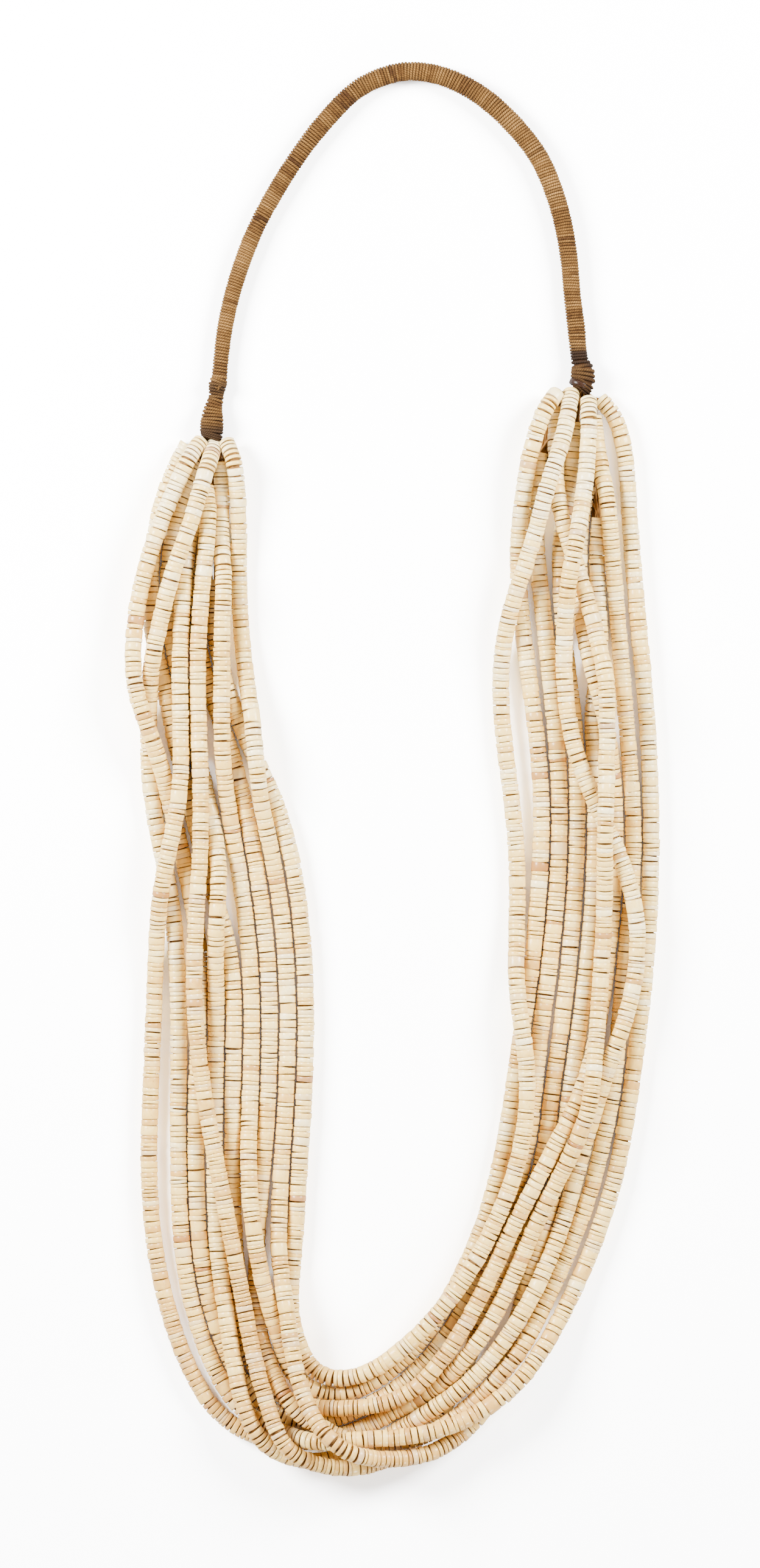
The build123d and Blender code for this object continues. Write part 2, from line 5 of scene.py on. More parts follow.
import bmesh
import bpy
import numpy as np
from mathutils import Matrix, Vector

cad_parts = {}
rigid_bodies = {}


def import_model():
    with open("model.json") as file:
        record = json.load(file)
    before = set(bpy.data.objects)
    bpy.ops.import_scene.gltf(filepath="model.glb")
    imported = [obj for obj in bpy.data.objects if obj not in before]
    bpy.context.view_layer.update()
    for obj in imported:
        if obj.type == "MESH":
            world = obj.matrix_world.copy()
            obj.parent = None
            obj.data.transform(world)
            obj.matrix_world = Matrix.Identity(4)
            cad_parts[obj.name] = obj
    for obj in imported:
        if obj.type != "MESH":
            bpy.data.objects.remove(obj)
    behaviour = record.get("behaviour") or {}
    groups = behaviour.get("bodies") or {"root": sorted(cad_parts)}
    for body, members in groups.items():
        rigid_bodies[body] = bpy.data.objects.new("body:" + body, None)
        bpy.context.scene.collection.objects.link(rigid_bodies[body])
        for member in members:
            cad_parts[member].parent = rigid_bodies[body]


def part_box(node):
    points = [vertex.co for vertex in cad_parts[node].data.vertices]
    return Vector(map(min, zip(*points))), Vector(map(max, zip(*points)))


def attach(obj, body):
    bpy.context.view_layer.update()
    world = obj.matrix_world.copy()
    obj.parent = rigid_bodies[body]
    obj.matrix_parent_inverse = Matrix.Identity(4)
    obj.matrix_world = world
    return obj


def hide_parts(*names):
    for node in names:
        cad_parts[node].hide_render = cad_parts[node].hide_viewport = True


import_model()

bl_info = {
    "name": "Strung Disc Necklace",
    "version": (1, 0, 0),
    "blender": (4, 5, 0),
    "location": "3D View > Sidebar > Necklace",
    "description": "Strings of shell discs gathered into a twine-wrapped neck piece",
    "category": "Add Mesh",
}

MM = 0.001

# The necklace as laid, in millimetres. Routes and tables count from a point inside the loop.
DISC_D = 5.0
CLEARANCE = 0.3  # left between two strings that lie on each other
RUN = 8.0  # from one knot of a string's line to the next
LEVEL = 6.2  # rise from one level of the routes to the next
NEAR = 5.0  # how far beyond touching the strings' knots are still watched
WRAP_D = 5.8
WRAP_WIDTH = 106.3
WRAP_RISE = 89.7
WRAP_LEFT = (-51.2, 116.5)
LEFT_BINDING_D = 7.1
LEFT_BINDING_L = 18.9
RIGHT_BINDING_D = 7.4
RIGHT_BINDING_L = 9.0

# Wrap, from its left end: across and up as shares of WRAP_WIDTH and WRAP_RISE, thickness
# as a share of WRAP_D.
WRAP_SECTIONS = [
    # across, up, thickness
    (0.000, 0.000, 0.83),
    (0.003, 0.045, 0.81),
    (0.014, 0.151, 0.84),
    (0.034, 0.262, 0.85),
    (0.063, 0.373, 0.88),
    (0.101, 0.485, 0.89),
    (0.151, 0.596, 0.91),
    (0.210, 0.708, 0.91),
    (0.280, 0.819, 0.95),
    (0.373, 0.933, 0.98),
    (0.463, 0.987, 1.00),
    (0.548, 1.000, 1.00),
    (0.642, 0.974, 1.03),
    (0.736, 0.911, 1.05),
    (0.820, 0.819, 1.05),
    (0.885, 0.719, 1.02),
    (0.927, 0.608, 1.00),
    (0.955, 0.491, 0.97),
    (0.971, 0.373, 0.93),
    (0.979, 0.262, 0.91),
    (0.990, 0.156, 0.95),
    (0.995, 0.089, 0.90),
    (1.000, 0.050, 0.91),
]
# Left binding, from the wrap down: sideways drift and way down as shares of
# LEFT_BINDING_L, thickness as a share of LEFT_BINDING_D.
LEFT_BINDING_SECTIONS = [
    # drift, down, thickness
    (-0.008, 0.07, 0.70),
    (-0.026, 0.12, 0.80),
    (-0.037, 0.19, 0.76),
    (-0.053, 0.29, 0.65),
    (-0.058, 0.37, 0.66),
    (-0.090, 0.47, 0.75),
    (-0.111, 0.58, 0.86),
    (-0.116, 0.69, 0.96),
    (-0.122, 0.82, 1.00),
    (-0.127, 0.94, 0.94),
    (-0.132, 1.00, 0.83),
]
# Right binding, in the same columns, as shares of RIGHT_BINDING_L and RIGHT_BINDING_D.
RIGHT_BINDING_SECTIONS = [
    # drift, down, thickness
    (0.044, 0.16, 0.80),
    (0.089, 0.31, 0.93),
    (0.100, 0.51, 1.00),
    (0.089, 0.71, 0.99),
    (0.033, 0.89, 0.89),
    (-0.011, 1.00, 0.77),
]
# Routes of the ten strings, from the left binding round to the right one: across, along
# and the level at which the string crosses the others, 0 on the table.
STRING_ROUTES = {
    "strand_01": [
        (-57.4, 77.5, 0), (-58.3, 72, 0.4), (-59.4, 66, 0.8), (-60.6, 57, 0.9), (-61.9, 47, 0.9),
        (-62.8, 36, 1), (-63, 24, 1), (-62.6, 12, 1.3), (-62.7, 0, 1.3), (-64.2, -12, 1.3),
        (-66.3, -21, 1.2), (-67.7, -31, 1), (-69.2, -43, 0.4), (-70.3, -58, 0), (-70.7, -76, 0),
        (-71.5, -94, 0), (-72.4, -110, 0), (-72.1, -127, 0), (-70.7, -143, 0), (-66.9, -159, 0),
        (-61.8, -175, 0), (-55.3, -188.5, 0), (-47.5, -195.9, 0), (-38.5, -199.5, 0),
        (-29, -199.8, 0.2), (-19, -197.3, 0.4), (-9.5, -193.9, 0), (0, -192.4, 0), (9, -188.6, 0),
        (16.7, -182, 0.1), (23.3, -174.2, 0.2), (28.4, -165.2, 0.3), (33.2, -155, 0.6),
        (37.4, -145, 0.9), (41.1, -135, 1.2), (44.9, -127, 1.6), (49.3, -120, 1.9), (53.6, -110, 1.9),
        (56.6, -100, 2), (58.5, -90, 1.8), (59.7, -79, 1.4), (60.4, -69, 1.2), (61.5, -58, 1.2),
        (62.4, -44, 1.2), (62.6, -30, 1.2), (62.6, -14, 1.6), (62.6, 2, 1.4), (62.8, 16, 1.4),
        (61.9, 29, 1.5), (59.4, 40, 1.4), (57.1, 50, 1.2), (54.7, 58, 0.6), (51.9, 66, 0.3),
        (49.4, 74, 1), (48.2, 82, 1.1), (47.2, 90, 0.9), (47, 97, 0.4), (47.6, 102.5, 0.1),
        (48.4, 107.5, 0),
    ],
    "strand_02": [
        (-52.7, 96.2, 0.5), (-53.1, 91, 1), (-54.4, 85.5, 1.3), (-56.4, 79, 1.5), (-59.6, 70, 1.6),
        (-63.1, 60, 1.7), (-67, 51, 1.3), (-69.6, 37, 1.3), (-71.8, 20, 0.8), (-72.2, 8, 0.2),
        (-71.2, -8, 0), (-69, -21, 0), (-66.9, -33, 0.2), (-64.8, -44, 0.3), (-63.4, -60, 0.1),
        (-63.2, -80, 0), (-63.2, -100, 0), (-63.2, -120, 0), (-61.9, -139, 0), (-58, -157, 0),
        (-53.6, -172, 0.1), (-49.6, -182, 0.1), (-44, -191, 0.6), (-36.5, -195.5, 1),
        (-28.5, -195.5, 1.8), (-20.5, -193, 2), (-13.5, -194.2, 1.4), (-5, -196, 1), (3, -196.7, 1.2),
        (11, -195.8, 1.3), (19, -192.3, 1.3), (27.3, -187.6, 1), (34.1, -181.9, 1), (39.5, -176.3, 0.6),
        (45.1, -169.5, 0.3), (50, -160, 0), (54.4, -152, 0), (59.3, -140, 0), (63.2, -130, 0),
        (65.9, -121, 0), (68, -109, 0), (69.5, -99, 0), (71, -87, 0), (73, -74, 0), (74.5, -59, 0),
        (75.5, -47, 0), (76.2, -30, 0), (76.3, -14, 0), (75.9, 2, 0), (75, 16, 0), (73.6, 30, 0),
        (72.3, 44, 0), (70.9, 59, 0), (69.7, 73, 0), (69, 80, 0), (68.9, 89, 0), (68.8, 97, 0),
        (67.8, 102.3, 0), (64.9, 107, 0.1), (61.2, 109.6, 0.2),
    ],
    "strand_03": [
        (-55.2, 83.5, 0.4), (-54.3, 78, 0.7), (-54.2, 72.5, 0.8), (-54.6, 67, 0.7), (-55.3, 61, 0.7),
        (-56.6, 50, 0.8), (-57.5, 40, 1), (-58, 30, 1), (-57.6, 16, 0.6), (-56.9, 0, 1),
        (-56.4, -12, 1), (-56.4, -22, 1.6), (-57.2, -33, 1.6), (-58.3, -46, 1.2), (-58.7, -64, 1.2),
        (-58, -80, 1.2), (-56.3, -93, 1.3), (-53.8, -107, 1.3), (-51.1, -120, 1.4), (-47.8, -136, 1.3),
        (-45.1, -150, 1.1), (-42.4, -166, 1.1), (-38.4, -180, 1.8), (-34.6, -190.5, 2.3),
        (-30.3, -199.6, 2), (-22, -204.6, 1), (-13, -206.4, 0.9), (-5, -206.3, 0.4), (2, -202.8, 0),
        (7.5, -197, 0), (12, -190.5, 0), (15.8, -183.8, 0), (19.2, -176.5, 0), (22.7, -168, 0),
        (26.3, -160, 0), (29.6, -152, 0), (32.8, -144.5, 0), (35.9, -137, 0), (38.8, -129.5, 0),
        (41.3, -122, 0), (43.2, -114, 0), (45, -106.5, 0), (46.7, -98, 0), (48, -90, 0), (49.5, -79, 0),
        (50.7, -68, 0), (52, -56, 0), (53.2, -44, 0), (54, -31, 0), (54.6, -19, 0), (54.9, -7, 0),
        (54.4, 5, 0), (53.4, 16, 0), (51.8, 28, 0), (50.2, 40, 0), (49.1, 51, 0), (49.1, 62, 0),
        (49.9, 72, 0), (51.4, 82, 0), (53, 92, 0), (54.2, 99, 0), (54.5, 104, 0),
    ],
    "strand_04": [
        (-56.9, 96.6, 0.5), (-58.8, 94, 0.9), (-61.4, 89.5, 1.1), (-64.3, 83.5, 1.2), (-67, 77, 1.2),
        (-70, 69, 1.2), (-72.9, 59.5, 1.2), (-75.7, 49, 1), (-76.7, 38, 1), (-75.4, 25, 1.2),
        (-71.2, 12, 1.3), (-67.5, 0, 1.3), (-64.8, -12.5, 1.1), (-61.9, -24, 1.1), (-59.3, -37, 0.5),
        (-56.6, -50, 0.1), (-56.2, -66, 0), (-57.4, -82, 0), (-58.3, -98, 0), (-58.2, -115, 0),
        (-57.7, -132, 0), (-55.9, -147, 0.1), (-53.3, -160.5, 0.4), (-50.3, -171.5, 0.1),
        (-46.4, -180.5, 0), (-40.6, -187.5, 0), (-33.5, -191.8, 0), (-26, -193.4, 0), (-18, -192.2, 0),
        (-10, -188.8, 0), (-2.5, -184.4, 0), (3.5, -179.6, 0.1), (8, -175.2, 0.1), (12.5, -169.5, 0.1),
        (17, -163.2, 0.1), (21.7, -156, 0), (26.3, -148.5, 0), (30.2, -140.5, 0), (33.9, -132.5, 0),
        (37.3, -124.5, 0), (40, -117, 0), (41.6, -109, 0), (42.2, -100, 0), (42.5, -90, 0),
        (43, -80, 0), (44, -70, 0), (45.6, -61, 0), (47.2, -50, 0), (48.2, -39, 0), (48.9, -27, 0),
        (49.5, -14, 0), (49.2, -1, 0), (48.1, 10, 0), (47, 20, 0), (46, 31, 0), (44.8, 41, 0),
        (43.8, 52, 0), (42.4, 61, 0), (40.9, 69, 0), (41, 76, 0), (42, 83, 0), (43.2, 89, 0),
        (44, 94, 0),
    ],
    "strand_05": [
        (-57.5, 92, 0), (-59, 88.5, 0), (-60.9, 84, 0), (-63.4, 76.5, 0), (-65.6, 68.5, 0),
        (-66.7, 58, 0), (-67, 47, 0), (-65, 35, 0), (-62, 22.5, 0), (-59.2, 10, 0), (-56.6, -1, 0),
        (-54.1, -10, 0), (-52, -20, 0.1), (-51.2, -31, 0.9), (-51.8, -42, 0.9), (-52.3, -57, 0.1),
        (-52, -75, 0), (-52, -95, 0), (-52.8, -115, 0), (-53, -134, 0), (-52, -149, 0.1),
        (-49.4, -164, 0.6), (-46.2, -177.5, 0.7), (-42.4, -190, 1.1), (-37.4, -199.3, 1.2),
        (-29.5, -204.7, 0.5), (-20.5, -206.2, 0), (-12, -203.6, 0), (-5, -199.2, 0), (1.5, -195.2, 0),
        (8.5, -192.5, 0), (16, -188.5, 0.5), (22.5, -183.3, 0.9), (28, -176.6, 1), (33, -169, 1),
        (38.2, -159.7, 1), (43, -150.5, 1), (47.5, -140.7, 1), (50.9, -131, 0.8), (53.8, -121, 0.8),
        (56, -110.5, 0.8), (58.3, -101, 0.8), (60.7, -93.5, 1.1), (64.1, -84.5, 1.4), (68, -75, 1.4),
        (71, -66.5, 1.2), (72.7, -57, 1.3), (72.8, -46, 1.3), (71.2, -37, 1.3), (68, -28, 1.3),
        (64.1, -19, 1), (60, -12.5, 0.9), (56.6, -5, 1), (53.3, 4.5, 1.2), (51, 15, 1.2), (50, 27, 1.2),
        (50, 41, 1.2), (51.2, 53, 1.4), (53, 65, 1.6), (55.2, 75.5, 1.6), (57, 85.5, 1.5),
        (58.1, 95, 1.2), (58.3, 102, 1), (58, 109.4, 0.6),
    ],
    "strand_06": [
        (-61, 95.6, 0), (-62.9, 92.3, 0), (-64.5, 89, 0), (-66.4, 84, 0), (-68.4, 77.5, 0),
        (-70.4, 71, 0), (-71.8, 63, 0), (-72.7, 51, 0), (-71.9, 38, 0), (-68.9, 26, 0),
        (-65.6, 12, 0.2), (-62, -1, 0.3), (-58.6, -15.5, 0.2), (-55, -30, 0.2), (-50.9, -42, 0),
        (-47.8, -53, 0), (-46.9, -68, 0), (-46.9, -85, 0), (-47.4, -102, 0), (-47.8, -120, 0),
        (-48.3, -136, 0), (-48, -150, 0), (-45.8, -163, 0), (-43, -175, 0.1), (-39, -184.5, 0.6),
        (-33, -190, 1.2), (-26, -190.6, 1.2), (-18, -189.4, 1.2), (-9, -189.4, 1), (0, -188.8, 1),
        (7.5, -184.8, 1), (14, -178.3, 1.1), (18.8, -170, 1.1), (22.7, -161.5, 1), (27.2, -152.5, 1),
        (31.9, -142, 1), (36.2, -132.5, 1), (40.8, -124.5, 1), (45, -116, 1), (49, -108, 1),
        (52.9, -100.5, 1), (56.6, -93, 1), (59.1, -85, 0.8), (60.6, -76, 0.3), (62.1, -65, 0.1),
        (63.4, -54, 0.1), (64.7, -43, 0.1), (65.4, -33, 0.1), (65.8, -21, 0.1), (65.8, -9, 0.1),
        (64.4, 3, 0.1), (62.4, 14, 0.5), (60.2, 26, 0.9), (57.6, 37, 0.6), (55.4, 47, 0.1),
        (54.2, 57, 0), (54.8, 67, 0), (55.8, 75.5, 0), (56.7, 84, 0),
    ],
    "strand_07": [
        (-50.4, 91.5, 0), (-50.6, 84, 0), (-51.2, 75, 0), (-51.6, 66, 0.1), (-51.5, 57, 0.6),
        (-50.9, 46, 0.8), (-50.5, 33, 0.8), (-50.4, 20, 1.2), (-50, 7, 1.2), (-49, -8, 0.6),
        (-46.8, -22, 0.1), (-44.2, -37, 0.1), (-42.4, -50, 0), (-41.8, -66, 0), (-41.8, -84, 0),
        (-42.5, -102, 0.2), (-42.4, -118, 1), (-41.6, -133, 1), (-40.2, -147, 1), (-37.6, -161, 1),
        (-34.8, -173, 0.9), (-32, -183, 0.6), (-27, -187.5, 0.2), (-20, -187.6, 0), (-12.5, -185.9, 0),
        (-5, -182.2, 0.1), (1.5, -177.8, 0.1), (7, -172.6, 0.1), (12, -165.7, 0), (16.8, -158.5, 0),
        (21.2, -151, 0), (24.6, -143, 0), (27.7, -134.5, 0), (30.3, -125, 0), (32.1, -115.5, 0),
        (34, -106, 0), (35.4, -96.5, 0), (36.4, -87.5, 0), (37.5, -78.5, 0), (39, -69.5, 0),
        (40.7, -59, 0), (42.2, -46, 0), (43.3, -32, 0), (44.1, -19, 0), (44.1, -8, 0), (43.2, 4, 0),
        (41.8, 15, 0), (40.3, 26, 0), (38.5, 37.5, 0), (36.7, 48, 0), (35.9, 59, 0), (36.9, 68.5, 0.3),
        (38.6, 76, 0.8), (39.4, 84, 1), (40.2, 92, 0.9), (42, 99.5, 0.8), (44.6, 106, 0.8),
        (48.2, 111.8, 0.7),
    ],
    "strand_08": [
        (-58.4, 66, 0), (-59.2, 57.5, 0), (-59.7, 48, 0), (-58.6, 37, 0), (-55.9, 27, 0), (-52, 17, 0),
        (-47.9, 5, 0), (-44.2, -8, 0), (-41.6, -22, 0.1), (-38.8, -37, 0.1), (-37, -54, 0),
        (-36.3, -72, 0), (-36.8, -92, 0), (-37.8, -110, 0), (-40, -123, 0.1), (-40.4, -137, 0),
        (-39.8, -152, 0), (-38.8, -166, 0), (-35.6, -177.5, 0.6), (-31.7, -187, 1.8),
        (-26.8, -196.2, 1.9), (-19.5, -200.9, 1.2), (-10.5, -200.8, 0.6), (-1, -200.2, 0.5),
        (8, -198.8, 0.5), (15.4, -194.8, 0.4), (21.7, -189, 0.4), (27.6, -184, 0.3),
        (33.2, -178.2, 0.3), (37.5, -171, 0.3), (41.9, -163, 0.2), (46.4, -154, 0), (50.5, -145, 0),
        (54.1, -137, 0), (57.4, -128, 0), (60.5, -118, 0), (62.6, -107.5, 0), (64.1, -97.5, 0),
        (65.3, -87, 0.1), (66.6, -76, 0.1), (67.8, -62.5, 0), (69.5, -48.5, 0), (70.8, -33, 0),
        (71.2, -17, 0), (70.2, -2.5, 0), (69, 11, 0), (67.7, 27.5, 0), (65.9, 45, 0), (64.2, 58, 0.1),
        (62.4, 70, 0.8), (61.7, 80, 1), (60.8, 87.5, 0.6), (59.4, 94, 0.1), (58.8, 100, 0),
        (58.8, 105, 0),
    ],
    "strand_09": [
        (-49.2, 96.2, 0.4), (-48, 92.8, 0.8), (-47.1, 89, 0.8), (-46.8, 83, 0.6), (-46.7, 76, 0.3),
        (-46.6, 68, 0), (-46.2, 57, 0), (-45.4, 44, 0.1), (-44.3, 32, 0.2), (-42.5, 20, 0.9),
        (-41.2, 10, 1.1), (-40.1, 0, 1), (-38.4, -12, 0.7), (-35.8, -25, 0.2), (-32.8, -39, 0),
        (-31.4, -56, 0), (-31.1, -76, 0), (-31.5, -96, 0), (-32.7, -114, 0), (-34, -131, 0.2),
        (-34.2, -144, 0.9), (-32.6, -160, 1.2), (-30.3, -172, 1.8), (-27.8, -183, 2.8),
        (-24.2, -192.8, 3.1), (-17.5, -198.8, 2.6), (-9, -202.7, 1.7), (0, -203.6, 1.1),
        (10, -201.4, 1), (18.5, -197, 0.8), (25.3, -192, 0.2), (30, -185.3, 0), (33.2, -178, 0),
        (35.7, -170, 0), (37.9, -161.5, 0), (39.7, -153, 0), (42.3, -143.5, 0), (45.7, -133.5, 0),
        (48, -123.5, 0), (50, -113, 0), (51.4, -103, 0), (53.3, -91.5, 0), (54.8, -80, 0),
        (56.2, -67, 0), (57.6, -54, 0), (59, -40, 0), (59.7, -27, 0), (59.8, -14, 0), (59.7, -1, 0),
        (59.2, 11, 0.1), (59.2, 23, 0.1), (60.2, 35, 0.1), (60.8, 45, 0.1), (60, 56, 0.1),
        (58.6, 66, 0), (59.6, 76, 0),
    ],
    "strand_10": [
        (-54.3, 57, 0), (-54.4, 48, 0), (-53.9, 38.5, 0), (-51.1, 28.5, 0), (-47.4, 20, 0),
        (-43.9, 9, 0.1), (-38.9, -1, 0.1), (-33.8, -10, 0), (-30.7, -21, 0), (-27.9, -36, 0),
        (-25.9, -56, 0), (-25.4, -76, 0), (-26.5, -98, 0), (-28, -119, 0), (-28.9, -138, 0),
        (-31.4, -153.5, 0.2), (-32.5, -165, 0.2), (-30.5, -175, 0.2), (-26.5, -182, 0.8),
        (-19.5, -184.9, 1), (-12, -182.3, 0.9), (-4.5, -177.7, 0.8), (3, -172.5, 0.9), (9.5, -165, 0.9),
        (15.5, -158, 1), (21, -151.5, 1), (25.6, -142.5, 1), (30.4, -133.5, 1), (34.9, -125, 1),
        (37.7, -116, 1), (39.6, -106.5, 1), (40.7, -96, 1), (39.9, -84, 1), (37.9, -74.5, 1),
        (36.4, -65, 0.6), (36.2, -54, 0.2), (37, -41, 0), (37.1, -28, 0), (36, -15, 0), (34.3, -3, 0),
        (32.5, 9, 0), (31.2, 21, 0), (31.3, 33, 0.2), (33.4, 43.5, 0.7), (37, 54, 1.1),
        (40.6, 63.5, 1.1), (43.4, 73, 1.3), (45.4, 82, 2), (48, 90.5, 1.8), (51.2, 98, 1.3),
        (52.4, 105, 1), (52.2, 111.4, 0.6),
    ],
}

# How each string looks: mean disc thickness in millimetres, disc diameter as a share of
# DISC_D, and how pale the string is from 0 to 1.
STRING_LOOKS = {
    # string: (thickness, size, pale)
    "strand_01": (1.45, 0.99, 0.52),
    "strand_02": (1.60, 1.00, 0.62),
    "strand_03": (1.40, 0.98, 0.46),
    "strand_04": (1.55, 1.01, 0.58),
    "strand_05": (1.45, 1.00, 0.66),
    "strand_06": (1.65, 0.98, 0.50),
    "strand_07": (1.55, 1.00, 0.54),
    "strand_08": (1.40, 0.98, 0.48),
    "strand_09": (1.60, 0.99, 0.60),
    "strand_10": (1.45, 1.00, 0.64),
}

# How discs differ along a string. A kind has a chance, given as the sum up to it, and a
# usual thickness and its spread, as shares of the string's mean.
DISC_KINDS = [
    # chance, usual, spread
    (0.600, 0.97, 0.16),
    (0.860, 0.66, 0.10),
    (0.975, 1.45, 0.25),
    (1.000, 2.10, 0.40),
]
LOOKS_THICKNESS = 1.5  # disc thickness, in millimetres, that STRING_LOOKS was set for
THINNEST = 0.4  # share of the string's mean
CURL_DISC = 0.62  # thickest disc in a curled end, as a share of the mean
CURL_DISC_SPREAD = 0.3  # random millimetres on top of it
FIRST_DISC = 0.05  # place of the first disc, from the string's end
WIDTH_DRIFT = (0.015, 14.0)  # slow change of the width: share, and length that it takes
WIDTH_SPREAD = 0.012  # change of the width from disc to disc
TONE_DRIFT = (0.22, 22.0)  # the same two for the tone
TONE_SPREAD = 0.17
NOISE_SPAN = 40  # range from which each disc gets a noise of its own
MOST_SQUEEZED = 0.4  # share of a disc's place that a bend may take
WIDEST_GAP = 2.2  # in mean gaps
# Faint stains of ordinary discs.
STAIN_CHANCE = 0.25
STAIN_RARITY = 14  # power that keeps most of them faint
STAIN_MOST = 0.9

# Shape of a disc of unit width and thickness.
DISC_SIDES = 18
DISC_RINGS = [
    # radius, height, how worn the rim is
    (0.472, -0.50, 1.0),
    (0.500, -0.38, 0.1),
    (0.500, 0.38, 0.1),
    (0.472, 0.50, 1.0),
]
# The shapes that strings are made of: wedge, and whether it is chipped.
DISC_SHAPES = [(0, False), (0.06, False), (0.12, False), (0.2, False), (0.05, True), (0, False)]
OUTLINE_SPREAD = 0.008  # how far the outline is from round
RING_SPREAD = 0.004
CHIP_DEPTH = 0.10
CHIP_ANGLE = 0.35  # half the width of a chip, in radians

# How the upper strings' ends curl down into the bindings: string and end (0 left, -1
# right), then across, along and down.
END_CURLS = {
    ("strand_04", 0): (1.1, 0.1, 3.0),
    ("strand_02", 0): (0.1, 0.2, 2.3),
    ("strand_09", 0): (-1.3, 0.4, 3.6),
    ("strand_06", 0): (0.9, 0.4, 0.0),
    ("strand_07", -1): (1.5, -0.4, 3.0),
    ("strand_10", -1): (0.0, 0.3, 1.6),
    ("strand_05", -1): (-0.2, 0.3, 2.8),
    ("strand_02", -1): (-1.9, -0.2, 0.6),
}
CURL_LENGTH = 8.0
# Wide discs near a string's right end: start before the end, and thickness.
WIDE_DISCS = {"strand_07": (5.0, 3.1)}
# Painted light and shade along Y: how much paler or duller the discs are made, darker towards the bottom turn
# and paler towards the top.
PAINTED_LIGHT_AND_SHADE_BY_Y = [(-190, -0.42), (-120, -0.08), (40, 0.02), (80, 0.25)]
# Places of the few orange-brown discs, how near a disc has to be, and how dark it is.
STAINED_DISCS = [(42.7, -28.6), (-36.6, -2.3)]
STAIN_REACH = 2.0
STAIN_DEPTH = 0.85

# Bare threads low in the gathers, laid in gaps between strings as painted shade: start, end, how many, and
# how wide they spread.
SHADE_THREAD_FANS = [
    ((46.3, 106), (43.8, 88), 6, 2.8),
    ((59.4, 92), (60.6, 71), 6, 2.8),
    ((-50.0, 97), (-52.8, 81), 5, 2.4),
    ((-57.3, 72), (-57.9, 62), 4, 2.0),
]

# Smooth lines through a string's knots.
CURVE_POINTS = 16  # points from one knot to the next
LINE_STEP = 0.25  # millimetres
BEND_WINDOW = 17  # points over which a bend is averaged

# Twine of the wrap and the bindings, in millimetres.
TURN_POINTS = 20
WRAP_PITCH = 0.87
WIND_STEP = 0.05  # steps in which the turns are counted
FULL_TWINE_D = 1.06  # thickness of a twine whose attribute thick is 1
TWINE_UNEVENNESS = 0.10
# Changes along the twine: how much, and how many turns a change takes.
PITCH_DRIFT = (0.07, 6)
TWINE_DRIFT = (0.07, 1.3)  # thickness
LIFT_DRIFT = (0.06, 0.9)  # how far a turn stands out
TURN_TONE = (0.28, 1.1)  # tone from turn to turn
LONG_TONE = (0.2, 9)  # tone over many turns
SLANT_TURNS = 5
WRAP_SLANT = (0.0, 0.05)  # usual slant of the turns, and its change
BINDING_SLANT_CHANGE = 0.06
# Round bodies inside the windings: their inset is a share of the twine's diameter.
WRAP_CORE_INSET = 0.62
BINDING_CORE_INSET = 0.75
CORE_STEP = 1.2
CORE_SIDES = 20

# Stains near the wrap's two ends: way along Y, and how dark, 0 to 1.
LEFT_STAIN = [
    (97, 0.85), (98.4, 0.9), (100.5, 0.85), (101.5, 0.55), (103, 0.2), (104, 0.35), (105, 0.05),
    (109, 0.05), (109.5, 0.5), (112.6, 0.85), (114, 0.7), (115.3, 0.15), (117, 0.25), (122, 0.05),
    (128, 0.0),
]
RIGHT_STAIN = [
    (111, 0.9), (112.6, 0.7), (114.5, 0.68), (117.5, 0.6), (118.8, 0.5), (119.4, 0.97), (123.2, 0.95),
    (124.2, 0.55), (125.5, 0.15), (130, 0.0),
]
# Single dark turns of the wrap: places, how near the wrap has to be, half their width in
# turns, and how dark.
DARK_TURNS = [(-30, 180), (-40, 163), (-16, 197), (0, 205), (40, 181), (46, 170), (51, 157), (52, 146)]
DARK_TURN_REACH = 4.0
DARK_TURN_HALF = 0.55
DARK_TURN_DEPTH = 0.65
# Other turns that happen to be dark.
DARK_CHANCE = 0.05
DARK_CHANCE_DEPTH = 0.5
# What a fully dark turn loses in tone and gains in stain.
DARK_TONE = 0.5
DARK_STAIN = 0.35
# Winding of the bindings: first and last share of the way, pitch, twine thickness, slant.
LEFT_WINDING = [
    (0.00, 0.09, 1.10, 1.20, 0.02),
    (0.09, 0.36, 0.95, 0.95, 0.05),
    (0.36, 0.72, 1.05, 1.05, 0.04),
    (0.72, 0.90, 0.95, 0.95, -0.03),
    (0.90, 1.00, 0.80, 0.85, -0.20),
]
RIGHT_WINDING = [
    (0.00, 0.16, 1.05, 1.05, -0.05),
    (0.16, 0.66, 1.20, 1.20, -0.14),
    (0.66, 1.00, 0.85, 0.85, -0.30),
]
# Knot on the left binding.
KNOT_PLACE = (-51.6, 112.6, 5.0)
KNOT_SIZE = 0.62
KNOT_TWINE_D = 0.53
KNOT_POINTS = 40
# Strap round the right binding. Its section is across, as a share of the width, and
# outwards, as a share of the thickness.
STRAP_PLACE = (55.3, 113.7, 3.5)
STRAP_WAY = (-0.36, -0.93)
STRAP_RADIUS = 3.1
STRAP_WIDTH = 1.9
STRAP_THICKNESS = 0.4
STRAP_SECTION = [(-0.5, 0.0), (-0.42, 0.7), (-0.15, 1.0), (0.15, 1.0), (0.42, 0.7), (0.5, 0.0)]
STRAP_POINTS = 64
# Bare threads from a binding into each string.
THREADS = 3
THREAD_D = 0.7
THREAD_POINTS = 14
TAIL_INSET = 1.5  # how far a thread runs into the binding and into the string
TAIL_ACROSS = (-1.6, 1.6)  # where threads leave the binding's end
TAIL_UP = (-1.8, 0.6)
TAIL_STRAY = 0.5  # how far they stray from the string's line
TAIL_SAG = 0.25  # share of the span
TAIL_SPAN = 8  # longest span that adds to the sag
TAIL_INNER = 12  # points of the string's line that give its end's direction
# Bare threads of the fans of painted shade in the gathers.
FAN_HEIGHT = 0.9
FAN_THREAD_D = 0.85
FAN_STRAY = 0.25  # how far their ends stray
